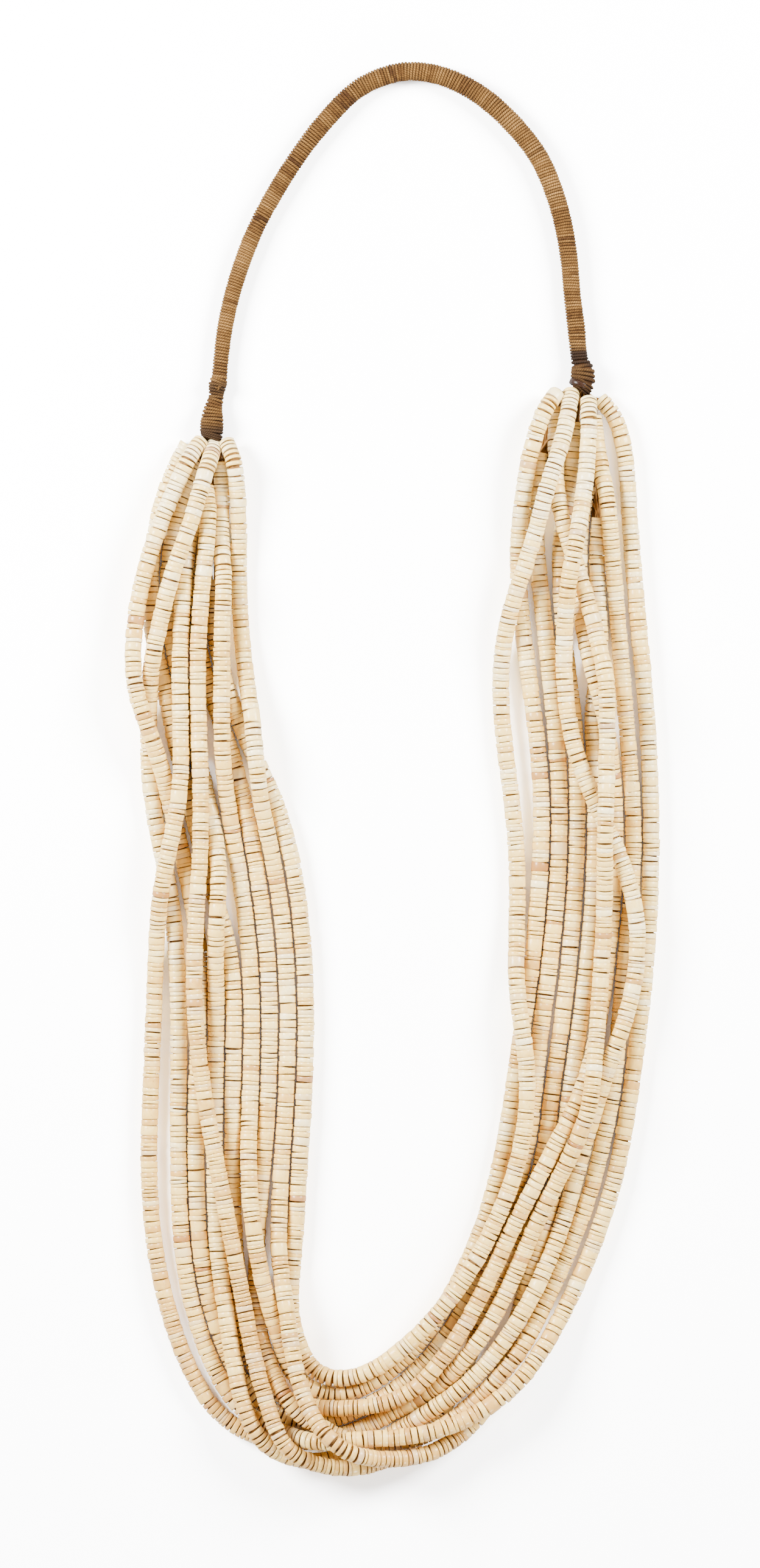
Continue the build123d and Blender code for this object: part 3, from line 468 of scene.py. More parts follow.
# Thick dark rods along each string's line: the threads in the holes of the discs, made thick enough to show
# in the gaps between discs as painted shade. Thickness, points of the string's line left out at each end, and
# points from one to the next.
SEAM_SHADE_ROD_D = 3.4
SEAM_SHADE_INSET = 4
SEAM_SHADE_STRIDE = 8
TABLE_GAP = 0.02  # least height over the table

# The picture: its height in pixels, the size of a pixel on the table in millimetres, and
# its middle in the routes' millimetres.
PICTURE_ROWS = 2576
PIXEL = 0.18
PHOTO_MIDDLE = (-3.87, -4.14, 0)
FLOOR_REACH = 3.0  # metres from the middle to each side
FLECK_EDGE = 0.06  # softness of a fleck's edge
# Wide lights: name, place in metres, size in metres, share of the power.
LIGHTS = [
    ("left light", (-0.68, 0.30, 0.52), (0.35, 0.40), 1.02),
    ("right light", (0.66, 0.38, 0.52), (0.35, 0.40), 0.80),
    ("low light", (0.45, -1.15, 0.55), (0.4, 0.35), 0.45),
]


def distances(points):
    """Distance along a line of points, counted from its first one."""
    return np.r_[0, np.cumsum(np.linalg.norm(np.diff(points, axis=0), axis=1))]


def rows_at(places, along, rows):
    """Points or ways of a line at the given distances along it."""
    return np.column_stack([np.interp(places, along, column) for column in rows.T])


def unit(vectors):
    """Rows of vectors, each made one long."""
    return vectors / np.linalg.norm(vectors, axis=1)[:, None]


def level_ways(centres):
    """Directions along a line of centres, without their rise."""
    ways = np.gradient(centres, axis=0)
    ways[:, 2] = 0
    return unit(ways)


def smooth_line(knots, curls=()):
    """Even points of the smooth line that knots draw: distances, points, ways and bends."""
    middles = (knots[:-1] + knots[1:]) / 2
    shares = np.linspace(0, 1, CURVE_POINTS, endpoint=False)[:, None]
    pieces = [knots[0] + (middles[0] - knots[0]) * shares]
    for corner, start, end in zip(knots[1:-1], middles, middles[1:]):
        pieces.append(start * (1 - shares) ** 2 + corner * 2 * shares * (1 - shares) + end * shares ** 2)
    pieces.append(middles[-1] + (knots[-1] - middles[-1]) * np.linspace(0, 1, CURVE_POINTS + 1)[:, None])
    raw = np.vstack(pieces)
    along = distances(raw)
    for end, curl in curls:
        away = along if end == 0 else along[-1] - along
        raw = raw + np.maximum(1 - away / CURL_LENGTH, 0)[:, None] ** 2 * np.array(curl)
    along = distances(raw)
    places = np.arange(0, along[-1], LINE_STEP)
    points = rows_at(places, along, raw)
    ways = unit(np.gradient(points, axis=0))
    turn = np.gradient(ways, LINE_STEP, axis=0)
    window = np.ones(BEND_WINDOW) / BEND_WINDOW
    turn = np.column_stack([np.convolve(column, window, "same") for column in turn.T])
    return places, points, ways, np.linalg.norm(turn, axis=1)


def curls_of(name):
    """End curls of one string as end and shift."""
    return [(end, (across, along, -down)) for (string, end), (across, along, down) in END_CURLS.items()
            if string == name]


def slow_noise(draw, places, amount, length):
    """Random values up to the given amount that change over about the given length."""
    count = int(places[-1] / length) + 3
    return amount * np.interp(places, np.arange(count) * length, draw.uniform(-1, 1, count))


# Small helpers for node trees

def fill(tree, node, inputs):
    """Joins or fills a node's inputs."""
    for socket, value in inputs.items():
        if isinstance(value, bpy.types.NodeSocket):
            tree.links.new(value, node.inputs[socket])
        else:
            node.inputs[socket].default_value = value


def put(tree, kind, inputs=None, **settings):
    """Adds a node, sets its properties and joins or fills its inputs."""
    node = tree.nodes.new(kind)
    for name, value in settings.items():
        setattr(node, name, value)
    fill(tree, node, inputs or {})
    return node


def add_sockets(tree, side, sockets):
    """Gives a node group its inputs or outputs, each with its label, kind and default."""
    for label, kind, value in sockets:
        socket = tree.interface.new_socket(label, in_out=side, socket_type=kind)
        if value is not None:
            socket.default_value = value


def shaping_tree(name, inputs):
    """Empty Geometry Nodes tree with a geometry input and the named inputs."""
    tree = bpy.data.node_groups.new(name, "GeometryNodeTree")
    geometry = ("Geometry", "NodeSocketGeometry", None)
    add_sockets(tree, "INPUT", [geometry, *inputs])
    add_sockets(tree, "OUTPUT", [geometry])
    return tree, tree.nodes.new("NodeGroupInput").outputs


def finish_tree(tree, geometry):
    """Realizes the instances, sets the material input and ends the tree."""
    source = next(node for node in tree.nodes if node.bl_idname == "NodeGroupInput")
    real = put(tree, "GeometryNodeRealizeInstances", {"Geometry": geometry})
    dressed = put(tree, "GeometryNodeSetMaterial",
                  {"Geometry": real.outputs[0], "Material": source.outputs["Material"]})
    put(tree, "NodeGroupOutput", {"Geometry": dressed.outputs[0]})


def attribute(tree, name, kind="FLOAT"):
    """Output that reads a named attribute."""
    return put(tree, "GeometryNodeInputNamedAttribute", {"Name": name}, data_type=kind).outputs[0]


def chance(tree, low, high, seed, kind="FLOAT"):
    """Output with a random value for each element."""
    first = {"FLOAT_VECTOR": 0, "FLOAT": 2, "INT": 4}[kind]
    out = {"FLOAT_VECTOR": 0, "FLOAT": 1, "INT": 2}[kind]
    inputs = {first: low, first + 1: high, 8: seed}
    return put(tree, "FunctionNodeRandomValue", inputs, data_type=kind).outputs[out]


def maths(tree, operation, *values):
    """Output of a maths node."""
    return put(tree, "ShaderNodeMath", dict(enumerate(values)), operation=operation).outputs[0]


def plus(tree, first, second):
    """Output that adds two values."""
    return maths(tree, "ADD", first, second)


def times(tree, first, second):
    """Output that multiplies two values."""
    return maths(tree, "MULTIPLY", first, second)


def stored(tree, geometry, name, value, kind="FLOAT"):
    """Geometry whose points carry a value under the given name."""
    inputs = {"Geometry": geometry, "Name": name, "Value": value}
    return put(tree, "GeometryNodeStoreNamedAttribute", inputs, data_type=kind, domain="POINT").outputs[0]


def pushed(tree, geometry, vector, amount):
    """Geometry moved by a vector times an amount."""
    push = put(tree, "ShaderNodeVectorMath", {0: vector, "Scale": amount}, operation="SCALE")
    return put(tree, "GeometryNodeSetPosition", {"Geometry": geometry, "Offset": push.outputs[0]}).outputs[0]


def roughened(tree, geometry, noise, amount):
    """Geometry that a noise makes uneven by the given amount."""
    centred = put(tree, "ShaderNodeVectorMath", {0: noise.outputs["Color"], 1: (0.5, 0.5, 0.5)},
                  operation="SUBTRACT")
    return pushed(tree, geometry, centred.outputs[0], amount)


def points_mesh(name, points, attributes, edges=()):
    """Mesh of bare points, in metres, with float or vector attributes."""
    mesh = bpy.data.meshes.new(name)
    mesh.from_pydata([tuple(point) for point in points], list(edges), [])
    for label, values in attributes.items():
        values = np.asarray(values, np.float32)
        kind = "FLOAT_VECTOR" if values.ndim == 2 else "FLOAT"
        layer = mesh.attributes.new(label, kind, "POINT")
        layer.data.foreach_set("vector" if values.ndim == 2 else "value", values.ravel())
    return mesh


def shaped(name, mesh, tree, inputs):
    """Object whose mesh is what the tree makes of the given mesh, as plain faces."""
    rough = bpy.data.objects.new(name + "_path", mesh)
    bpy.context.scene.collection.objects.link(rough)
    modifier = rough.modifiers.new("Shape", "NODES")
    modifier.node_group = tree
    for item in tree.interface.items_tree:
        if item.item_type == "SOCKET" and item.in_out == "INPUT" and item.name in inputs:
            modifier[item.identifier] = inputs[item.name]
    rough.update_tag()
    bpy.context.view_layer.update()
    graph = bpy.context.evaluated_depsgraph_get()
    ready = rough.evaluated_get(graph)
    plain = bpy.data.meshes.new_from_object(ready, preserve_all_data_layers=True, depsgraph=graph)
    rough.modifiers.clear()
    bpy.data.objects.remove(rough)
    bpy.data.meshes.remove(mesh)
    if not plain.polygons:
        raise RuntimeError(f"{name} came out empty")
    plain.name = name
    piece = bpy.data.objects.new(name, plain)
    bpy.context.scene.collection.objects.link(piece)
    return piece


def ring_faces(rings, sides, closed=False):
    """Four-sided faces between rings of points, and back to the first ring if closed."""
    faces = []
    for ring in range(rings if closed else rings - 1):
        for k in range(sides):
            a, b = ring * sides + k, ring * sides + (k + 1) % sides
            faces.append(tuple(corner % (rings * sides) for corner in (a, b, b + sides, a + sides)))
    return faces


# Discs

def disc_shape(name, draw, wedge, chipped):
    """Disc of unit width and thickness with worn edges and a rim attribute."""
    angles = np.arange(DISC_SIDES) * math.tau / DISC_SIDES
    swell = 1 + draw.normal(0, OUTLINE_SPREAD, DISC_SIDES)
    if chipped:
        swell *= 1 - CHIP_DEPTH * np.exp(-((angles - math.pi) / CHIP_ANGLE) ** 2)
    points, rims = [], []
    for radius, height, rim in DISC_RINGS:
        wobble = radius * swell * (1 + draw.normal(0, RING_SPREAD, DISC_SIDES))
        lean = height * (1 + wedge * np.cos(angles))
        points += list(zip(wobble * np.cos(angles), wobble * np.sin(angles), lean))
        rims += [rim] * DISC_SIDES
    faces = ring_faces(len(DISC_RINGS), DISC_SIDES)
    faces.append(tuple(reversed(range(DISC_SIDES))))
    faces.append(tuple(range(len(points) - DISC_SIDES, len(points))))
    mesh = bpy.data.meshes.new(name)
    mesh.from_pydata(points, [], faces)
    mesh.attributes.new("rim", "FLOAT", "POINT").data.foreach_set("value", np.array(rims, np.float32))
    mesh.polygons.foreach_set("use_smooth", [len(face) == 4 for face in faces])
    return bpy.data.objects.new(name, mesh)


def disc_shapes(draw):
    """Collection of disc shapes: plain, slightly wedged and chipped ones."""
    group = bpy.data.collections.new("Disc Shapes")
    for k, (wedge, chipped) in enumerate(DISC_SHAPES):
        group.objects.link(disc_shape(f"disc_{k}", draw, wedge, chipped))
    return group


def strung_discs_tree():
    """Geometry Nodes tree that puts a disc at each point of a string."""
    tree, given = shaping_tree("Strung Discs", [
        ("Shapes", "NodeSocketCollection", None),
        ("Lean", "NodeSocketFloat", 0.05),
        ("Side Step", "NodeSocketFloat", 0.0001),
        ("Unevenness", "NodeSocketFloat", 0.0001),
        ("Seed", "NodeSocketInt", 1),
        ("Material", "NodeSocketMaterial", None),
    ])
    seed = given["Seed"]
    aside = chance(tree, (-1, -1, -1), (1, 1, 1), seed, "FLOAT_VECTOR")
    moved = pushed(tree, given["Geometry"], aside, given["Side Step"])
    shapes = put(tree, "GeometryNodeCollectionInfo",
                 {"Collection": given["Shapes"], "Separate Children": True, "Reset Children": True})
    aligned = put(tree, "FunctionNodeAlignRotationToVector",
                  {"Vector": attribute(tree, "way", "FLOAT_VECTOR")}, axis="Z")
    backwards = times(tree, given["Lean"], -1.0)
    lean = put(tree, "ShaderNodeCombineXYZ", {
        "X": chance(tree, backwards, given["Lean"], plus(tree, seed, 1.0)),
        "Y": chance(tree, backwards, given["Lean"], plus(tree, seed, 2.0)),
        "Z": chance(tree, 0.0, math.tau, plus(tree, seed, 3.0)),
    })
    turned = put(tree, "FunctionNodeRotateRotation",
                 {"Rotation": aligned.outputs[0], "Rotate By": lean.outputs[0]}, rotation_space="LOCAL")
    scale = put(tree, "ShaderNodeCombineXYZ", {
        "X": attribute(tree, "wide"), "Y": attribute(tree, "wide"), "Z": attribute(tree, "thick")})
    pick = chance(tree, 0, len(DISC_SHAPES) - 1, plus(tree, seed, 4.0), "INT")
    discs = put(tree, "GeometryNodeInstanceOnPoints", {
        "Points": moved, "Instance": shapes.outputs[0], "Pick Instance": True, "Instance Index": pick,
        "Rotation": turned.outputs[0], "Scale": scale.outputs[0]})
    real = put(tree, "GeometryNodeRealizeInstances", {"Geometry": discs.outputs[0]})
    place = put(tree, "GeometryNodeInputPosition").outputs[0]
    noise = put(tree, "ShaderNodeTexNoise",
                {"Vector": place, "W": attribute(tree, "draw"), "Scale": 700.0, "Detail": 1.0},
                noise_dimensions="4D")
    worn = roughened(tree, real.outputs[0], noise, given["Unevenness"])
    spot = put(tree, "ShaderNodeSeparateXYZ", {0: put(tree, "GeometryNodeInputPosition").outputs[0]}).outputs
    level = maths(tree, "MAXIMUM", spot["Z"], TABLE_GAP * MM)
    rest = put(tree, "ShaderNodeCombineXYZ", {"X": spot["X"], "Y": spot["Y"], "Z": level})
    seated = put(tree, "GeometryNodeSetPosition", {"Geometry": worn, "Position": rest.outputs[0]})
    finish_tree(tree, seated.outputs[0])
    return tree


def lay_discs(line, draw, look, settings, wide_disc=None):
    """Points and attributes of the discs along one string."""
    places, points, ways, bends = line
    mean, size, pale = look
    mean *= settings.thickness / MM / LOOKS_THICKNESS
    width_drift = slow_noise(draw, places, *WIDTH_DRIFT)
    tone_drift = slow_noise(draw, places, *TONE_DRIFT)
    rows = []
    at = FIRST_DISC
    while True:
        kind = draw.random()
        usual, spread = next((usual, spread) for below, usual, spread in DISC_KINDS if kind < below)
        thick = max(draw.normal(usual, spread), THINNEST) * mean
        if min(at, places[-1] - at) < CURL_LENGTH:
            thick = min(thick, CURL_DISC * mean + CURL_DISC_SPREAD * draw.random())
        if wide_disc and places[-1] - at < wide_disc[0]:
            thick, wide_disc = wide_disc[1], None
        if at + thick > places[-1]:
            break
        middle = at + thick / 2
        wide = DISC_D * size * (1 + np.interp(middle, places, width_drift) + draw.normal(0, WIDTH_SPREAD))
        tone = pale + np.interp(middle, places, tone_drift) + draw.normal(0, TONE_SPREAD)
        # Painted light and shade: discs made darker towards the bottom turn and paler towards the top.
        tone += np.interp(np.interp(middle, places, points[:, 1]), *zip(*PAINTED_LIGHT_AND_SHADE_BY_Y))
        stain = draw.random() ** STAIN_RARITY * STAIN_MOST if draw.random() < STAIN_CHANCE else 0.0
        tints = (min(max(tone, 0), 1), draw.random(), stain, draw.random() * NOISE_SPAN)
        rows.append((middle, thick, wide, *tints))
        squeezed = min(wide / 2 * np.interp(middle, places, bends), MOST_SQUEEZED)
        at += thick / (1 - squeezed) + settings.gap / MM * min(draw.exponential(1.0), WIDEST_GAP)
    middles, thick, wide, tone, hue, stain, noise = np.array(rows).T
    marks = {"way": rows_at(middles, places, ways), "thick": thick * MM, "wide": wide * MM, "tone": tone,
             "hue": hue, "stain": stain, "draw": noise}
    return shifted(rows_at(middles, places, points)), marks


def stain_disc(laid, place):
    """Gives the uppermost disc near a place, in millimetres, an orange-brown stain."""
    spot = shifted([(*place, 0)])[0]
    near = [(points[k, 2], name, k) for name, (points, _) in laid.items()
            for k in np.where(np.hypot(*(points - spot)[:, :2].T) < STAIN_REACH * MM)[0]]
    if near:
        _, name, k = max(near)
        laid[name][1]["stain"][k] = STAIN_DEPTH


# Wound twine

def wound_twine_tree():
    """Geometry Nodes tree that gives a wound path its round twine."""
    tree, given = shaping_tree("Wound Twine", [
        ("Twine Radius", "NodeSocketFloat", 0.0005),
        ("Sides", "NodeSocketInt", 7),
        ("Unevenness", "NodeSocketFloat", 0.00005),
        ("Material", "NodeSocketMaterial", None),
    ])
    path = put(tree, "GeometryNodeMeshToCurve", {"Mesh": given["Geometry"]})
    spline = put(tree, "GeometryNodeSplineParameter")
    marked = stored(tree, path.outputs[0], "along", spline.outputs["Length"])
    radius = times(tree, given["Twine Radius"], attribute(tree, "thick"))
    ring = put(tree, "GeometryNodeCurvePrimitiveCircle", {"Resolution": given["Sides"], "Radius": 1.0})
    spot = put(tree, "GeometryNodeInputPosition")
    rounded = stored(tree, ring.outputs[0], "around", spot.outputs[0], "FLOAT_VECTOR")
    tube = put(tree, "GeometryNodeCurveToMesh",
               {"Curve": marked, "Profile Curve": rounded, "Scale": radius, "Fill Caps": True})
    normal = put(tree, "GeometryNodeInputNormal").outputs[0]
    facing = put(tree, "ShaderNodeVectorMath", {0: normal, 1: attribute(tree, "out", "FLOAT_VECTOR")},
                 operation="DOT_PRODUCT")
    crowned = stored(tree, tube.outputs[0], "crown", facing.outputs["Value"])
    noise = put(tree, "ShaderNodeTexNoise", {"Scale": 900.0, "Detail": 2.0}, noise_dimensions="3D")
    worn = roughened(tree, crowned, noise, given["Unevenness"])
    smooth = put(tree, "GeometryNodeSetShadeSmooth", {"Geometry": worn, "Shade Smooth": True})
    finish_tree(tree, smooth.outputs[0])
    return tree


def even_runs(route):
    """Points about one run apart along the smooth curve that a route's points draw."""
    rows = np.array(route, float)
    rows[:, 2] = DISC_D / 2 + rows[:, 2] * LEVEL
    middles = (rows[:-1] + rows[1:]) / 2
    middles[0] = rows[0]
    middles[-1] = rows[-1]
    dense = [rows[0]]
    for corner, start, end in zip(rows[1:-1], middles, middles[1:]):
        for t in np.linspace(0, 1, 13)[1:]:
            dense.append(start * (1 - t) ** 2 + corner * 2 * t * (1 - t) + end * t * t)
    dense = np.array(dense)
    along = distances(dense[:, :2])
    places = np.linspace(0, along[-1], int(round(along[-1] / RUN)) + 1)
    return rows_at(places, along, dense)


def points_on_curve(first, counts):
    """Knots and weights of points along each string's curve, four to a run."""
    index, weight, owner = [], [], []
    for string, (start, count) in enumerate(zip(first, counts)):
        end = start + count - 1
        for t in (0, 0.25, 0.5):
            index += [(start, start + 1, start + 1), (end, end - 1, end - 1)]
            weight += [(1 - t, t, 0), (1 - t, t, 0)]
            owner += [string, string]
        for knot in range(start + 1, end):
            for t in (0.125, 0.375, 0.625, 0.875):
                index.append((knot - 1, knot, knot + 1))
                weight.append((0.5 * (1 - t) ** 2, 0.5 + t * (1 - t), 0.5 * t * t))
                owner.append(string)
    return np.array(index), np.array(weight), np.array(owner)


def settle(routes, fixed):
    """Lays the strings down until each rests on the table or on the strings below it."""
    paths = [even_runs(route) for route in routes]
    counts = [len(path) for path in paths]
    first = np.cumsum([0] + counts[:-1])
    last = np.cumsum(counts) - 1
    knots = np.vstack(paths)
    inner = np.setdiff1d(np.arange(len(knots)), np.r_[first, last])
    for _ in range(6):
        knots[inner] += 0.25 * ((knots[inner - 1] + knots[inner + 1]) / 2 - knots[inner])
    home = knots * (1, 1, 0)
    index, weight, owner = points_on_curve(first, counts)

    def on_curve():
        return (knots[index] * weight[:, :, None]).sum(axis=1)

    points = on_curve()
    pairs = []
    for string in range(len(paths)):
        mine = np.where(owner == string)[0]
        others = np.where(owner > string)[0]
        apart = np.linalg.norm(points[mine][:, None, :2] - points[others][None, :, :2], axis=2)
        i, j = np.where(apart < DISC_D + NEAR)
        pairs.append(np.c_[mine[i], others[j]])
    one, two = np.vstack(pairs).T
    apart = np.linalg.norm(points[:, None, :2] - fixed[None, :, :2], axis=2)
    three, block = np.where(apart < DISC_D + NEAR)
    rise = points[one, 2] - points[two, 2]
    order = np.where(np.abs(rise) > 0.3 * LEVEL, np.sign(rise), 0)
    spread = (weight ** 2).sum(axis=1)
    flat_end = np.isin(index[:, 0], np.r_[first, last]) & (weight[:, 0] > 0.7) & (weight[:, 2] == 0)
    reach_out = np.where(flat_end, 0, DISC_D / 2)
    wanted = DISC_D + CLEARANCE

    # Each stage: passes, sinking per pass, pull back to the route, and whether a string
    # that crosses over another only moves upwards.
    stages = [(500, 0.12, 0.06, True), (150, 0.03, 0.03, True), (130, 0.03, 0.01, True)]
    stages += [(20, 0.03, 0.01, False), (150, 0, 0, False)]
    for passes, sink, pull, lift_only in stages:
        for _ in range(passes):
            if sink:
                knots[:, 2] -= sink
                knots[:, :2] += pull * (home - knots)[:, :2]
                shift = knots - home
                shift[inner] += 0.1 * ((shift[inner - 1] + shift[inner + 1]) / 2 - shift[inner])
                knots = home + shift
            points = on_curve()
            gap = points[one] - points[two]
            far = np.linalg.norm(gap, axis=1)
            flat = np.hypot(gap[:, 0], gap[:, 1])
            close = far < wanted
            if lift_only:
                close = (flat < wanted) & (close | (order * gap[:, 2] < 0))
            push = gap[close] * ((wanted - far[close]) / 2 / np.maximum(far[close], 0.2))[:, None]
            if lift_only:
                over = order[close]
                need = np.sqrt(np.maximum(wanted ** 2 - flat[close] ** 2, 0))
                lift = 0.4 * over * np.maximum(need - over * gap[close, 2], 0)
                push = np.where(over[:, None] != 0, np.c_[0.3 * push[:, :2], lift], push)
            off = points[three] - fixed[block, :3]
            reach = np.linalg.norm(off, axis=1)
            room = fixed[block, 3] + reach_out[three] + CLEARANCE
            hit = reach < room
            away = off[hit] * ((room - reach)[hit] / np.maximum(reach[hit], 0.2))[:, None]
            total = np.zeros_like(knots)
            share = np.zeros(len(knots))
            for rows, moves in ((one[close], push), (two[close], -push), (three[hit], away)):
                for k in range(3):
                    part = weight[rows, k]
                    np.add.at(total, index[rows, k], moves * (part / spread[rows])[:, None])
                    np.add.at(share, index[rows, k], part)
            knots = knots + total / np.maximum(share, 1)[:, None]
            knots[:, 2] = np.maximum(knots[:, 2], DISC_D / 2)
    return [knots[a:b + 1] for a, b in zip(first, last)]


def curve_through(rows, step=0.2):
    """Dense rows on a smooth curve through the given rows of place and thickness."""
    rows = np.asarray(rows, float)
    ends = np.vstack([2 * rows[0] - rows[1], rows, 2 * rows[-1] - rows[-2]])
    dense = []
    for before, start, end, after in zip(ends, ends[1:], ends[2:], ends[3:]):
        count = max(int(np.linalg.norm((end - start)[:3]) / step), 2)
        t = np.linspace(0, 1, count, endpoint=False)[:, None]
        dense.append(0.5 * (2 * start + (end - before) * t
                            + (2 * before - 5 * start + 4 * end - after) * t ** 2
                            + (3 * start - before - 3 * end + after) * t ** 3))
    dense.append(rows[-1:])
    return np.vstack(dense)


def wrap_rows():
    """Centres and thickness along the wrapped neck piece, in millimetres."""
    x, y = WRAP_LEFT
    return [(x + across * WRAP_WIDTH, y + up * WRAP_RISE, thickness * WRAP_D / 2, thickness * WRAP_D)
            for across, up, thickness in WRAP_SECTIONS]


def binding_rows(start, sections, length, diameter):
    """Centres and thickness down a binding, from the wrap's end, in millimetres."""
    rows = [tuple(start)]
    for drift, down, thickness in sections:
        size = thickness * diameter
        rows.append((start[0] + drift * length, start[1] - down * length, size / 2, size))
    return rows


def end_way(rows):
    """Level direction in which a binding ends."""
    way = np.array(rows[-1][:2]) - np.array(rows[-2][:2])
    return np.array([*(way / np.linalg.norm(way)), 0])


def kept_clear(rows):
    """Centres and radii of the balls inside a binding that the strings stay clear of."""
    end = np.array(rows[-1][:3]) - end_way(rows) * rows[-1][3] / 2
    return [(*row[:3], row[3] / 2) for row in rows[-6:-1]] + [(*end, rows[-1][3] / 2)]


@functools.cache
def layout():
    """Rows of the wrap and both bindings, and the settled strings by name."""
    wrap = wrap_rows()
    left = binding_rows(wrap[0], LEFT_BINDING_SECTIONS, LEFT_BINDING_L, LEFT_BINDING_D)
    right = binding_rows(wrap[-1], RIGHT_BINDING_SECTIONS, RIGHT_BINDING_L, RIGHT_BINDING_D)
    settled = settle(list(STRING_ROUTES.values()), np.array(kept_clear(left) + kept_clear(right)))
    return wrap, left, right, dict(zip(STRING_ROUTES, settled))


@functools.cache
def frame_offset():
    """Where the routes' own zero lies in the frame, in millimetres, from the strings' boxes."""
    sides, lows = [], []
    for name, knots in layout()[3].items():
        low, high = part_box(name)
        points = smooth_line(knots)[1]
        sides.append((low[0] + high[0]) / MM / 2 - (points[:, 0].min() + points[:, 0].max()) / 2)
        lows.append(low[1] / MM - (points[:, 1].min() - DISC_D / 2))
    return np.array([np.median(sides), np.median(lows), 0])


def shifted(points):
    """Points in millimetres of the routes as points in metres of the frame."""
    return (np.asarray(points, float) + frame_offset()) * MM


def stain_of(points):
    """How dark old stains make the twine at points in millimetres."""
    left, right = (np.interp(points[:, 1], *zip(*stains)) for stains in (LEFT_STAIN, RIGHT_STAIN))
    return np.where(points[:, 0] < 0, left, right)


def wind(rows, draw, pitch, twine_d, slant, share=(0, 1)):
    """Path of twine wound round a body: points in metres, edges and attributes."""
    dense = curve_through(rows)
    centres = dense[:, :3]
    along = distances(centres)
    start, end = share[0] * along[-1], share[1] * along[-1]
    fine = np.arange(start, end, WIND_STEP)
    change, turns_long = PITCH_DRIFT
    speed = 1 / (pitch * (1 + slow_noise(draw, fine - start, change, turns_long * pitch)))
    turns = np.r_[0, np.cumsum(speed * WIND_STEP)][:-1]
    whole = max(round(turns[-1]), 1)
    count = whole * TURN_POINTS + 1
    number = np.arange(count) / TURN_POINTS
    at = np.interp(number * turns[-1] / whole, turns, fine)
    angle = number * math.tau - math.pi / 2
    thick = 1 + slow_noise(draw, number, *TWINE_DRIFT)
    lift = slow_noise(draw, number, *LIFT_DRIFT)
    centre = rows_at(at, along, centres)
    way = rows_at(at, along, level_ways(centres))
    side = np.column_stack([way[:, 1], -way[:, 0], way[:, 2]])
    reach = np.interp(at, along, dense[:, 3]) / 2 - twine_d / 2 * thick + lift
    tilt = slant[0] + slow_noise(draw, number, slant[1], SLANT_TURNS)
    points = centre + side * (reach * np.cos(angle))[:, None] + way * (tilt * reach * np.cos(angle))[:, None]
    points[:, 2] = np.maximum(points[:, 2] + reach * np.sin(angle), twine_d / 2)
    tone = 0.5 + slow_noise(draw, number, *TURN_TONE) + slow_noise(draw, number, *LONG_TONE)
    last = int(number[-1]) + 2
    dark = np.interp(number, np.arange(last), (draw.random(last) < DARK_CHANCE) * DARK_CHANCE_DEPTH)
    for x, y in DARK_TURNS:
        away = np.hypot(centre[:, 0] - x, centre[:, 1] - y)
        if away.min() < DARK_TURN_REACH:
            turn = np.abs(number - number[away.argmin()]) < DARK_TURN_HALF
            dark = np.maximum(dark, DARK_TURN_DEPTH * turn)
    marks = {"thick": thick * twine_d / FULL_TWINE_D, "tone": np.clip(tone - DARK_TONE * dark, 0, 1),
             "stain": np.clip(stain_of(points) + DARK_STAIN * dark, 0, 1),
             "out": side * np.cos(angle)[:, None] + np.array([0, 0, 1]) * np.sin(angle)[:, None]}
    return shifted(points), joined(count), marks


def joined(count):
    """Edges that join each of so many points to the next."""
    return [(k, k + 1) for k in range(count - 1)]


def core_mesh(name, rows, inset):
    """Closed round body inside a winding."""
    dense = curve_through(rows, CORE_STEP)
    angles = np.arange(CORE_SIDES) * math.tau / CORE_SIDES
    points = []
    for (x, y, z, size), way in zip(dense, level_ways(dense[:, :3])):
        reach = size / 2 - inset
        for a in angles:
            across = reach * math.cos(a)
            points.append((x + way[1] * across, y - way[0] * across, z + reach * math.sin(a)))
    caps = [tuple(reversed(range(CORE_SIDES))), tuple(range(len(points) - CORE_SIDES, len(points)))]
    return outward(name, shifted(points), caps + ring_faces(len(dense), CORE_SIDES))


def outward(name, points, faces):
    """Object with a mesh whose faces point outwards, smooth where they have four sides."""
    mesh = bpy.data.meshes.new(name)
    mesh.from_pydata([tuple(point) for point in points], [], faces)
    work = bmesh.new()
    work.from_mesh(mesh)
    bmesh.ops.recalc_face_normals(work, faces=work.faces)
    work.to_mesh(mesh)
    work.free()
    mesh.polygons.foreach_set("use_smooth", [len(face.vertices) == 4 for face in mesh.polygons])
    piece = bpy.data.objects.new(name, mesh)
    bpy.context.scene.collection.objects.link(piece)
    return piece


def wound(name, paths, material, sides=7):
    """Piece of round twine along one or more wound paths."""
    points, edges, marks = [], [], {}
    for path, links, values in paths:
        edges += [(a + len(points), b + len(points)) for a, b in links]
        points += list(path)
        for label, value in values.items():
            marks.setdefault(label, []).extend(value)
    return shaped(name, points_mesh(name, points, marks, edges), wound_twine_tree(), {
        "Twine Radius": FULL_TWINE_D / 2 * MM, "Sides": sides, "Unevenness": TWINE_UNEVENNESS * MM,
        "Material": material})


def plain_path(points, twine_d, tone, stain):
    """Path of a thread that looks the same all along, from points in millimetres."""
    count = len(points)
    marks = {"thick": np.full(count, twine_d / FULL_TWINE_D), "tone": np.full(count, tone),
             "stain": np.full(count, stain), "out": np.tile((0.0, 0.0, 1.0), (count, 1))}
    return shifted(points), joined(count), marks


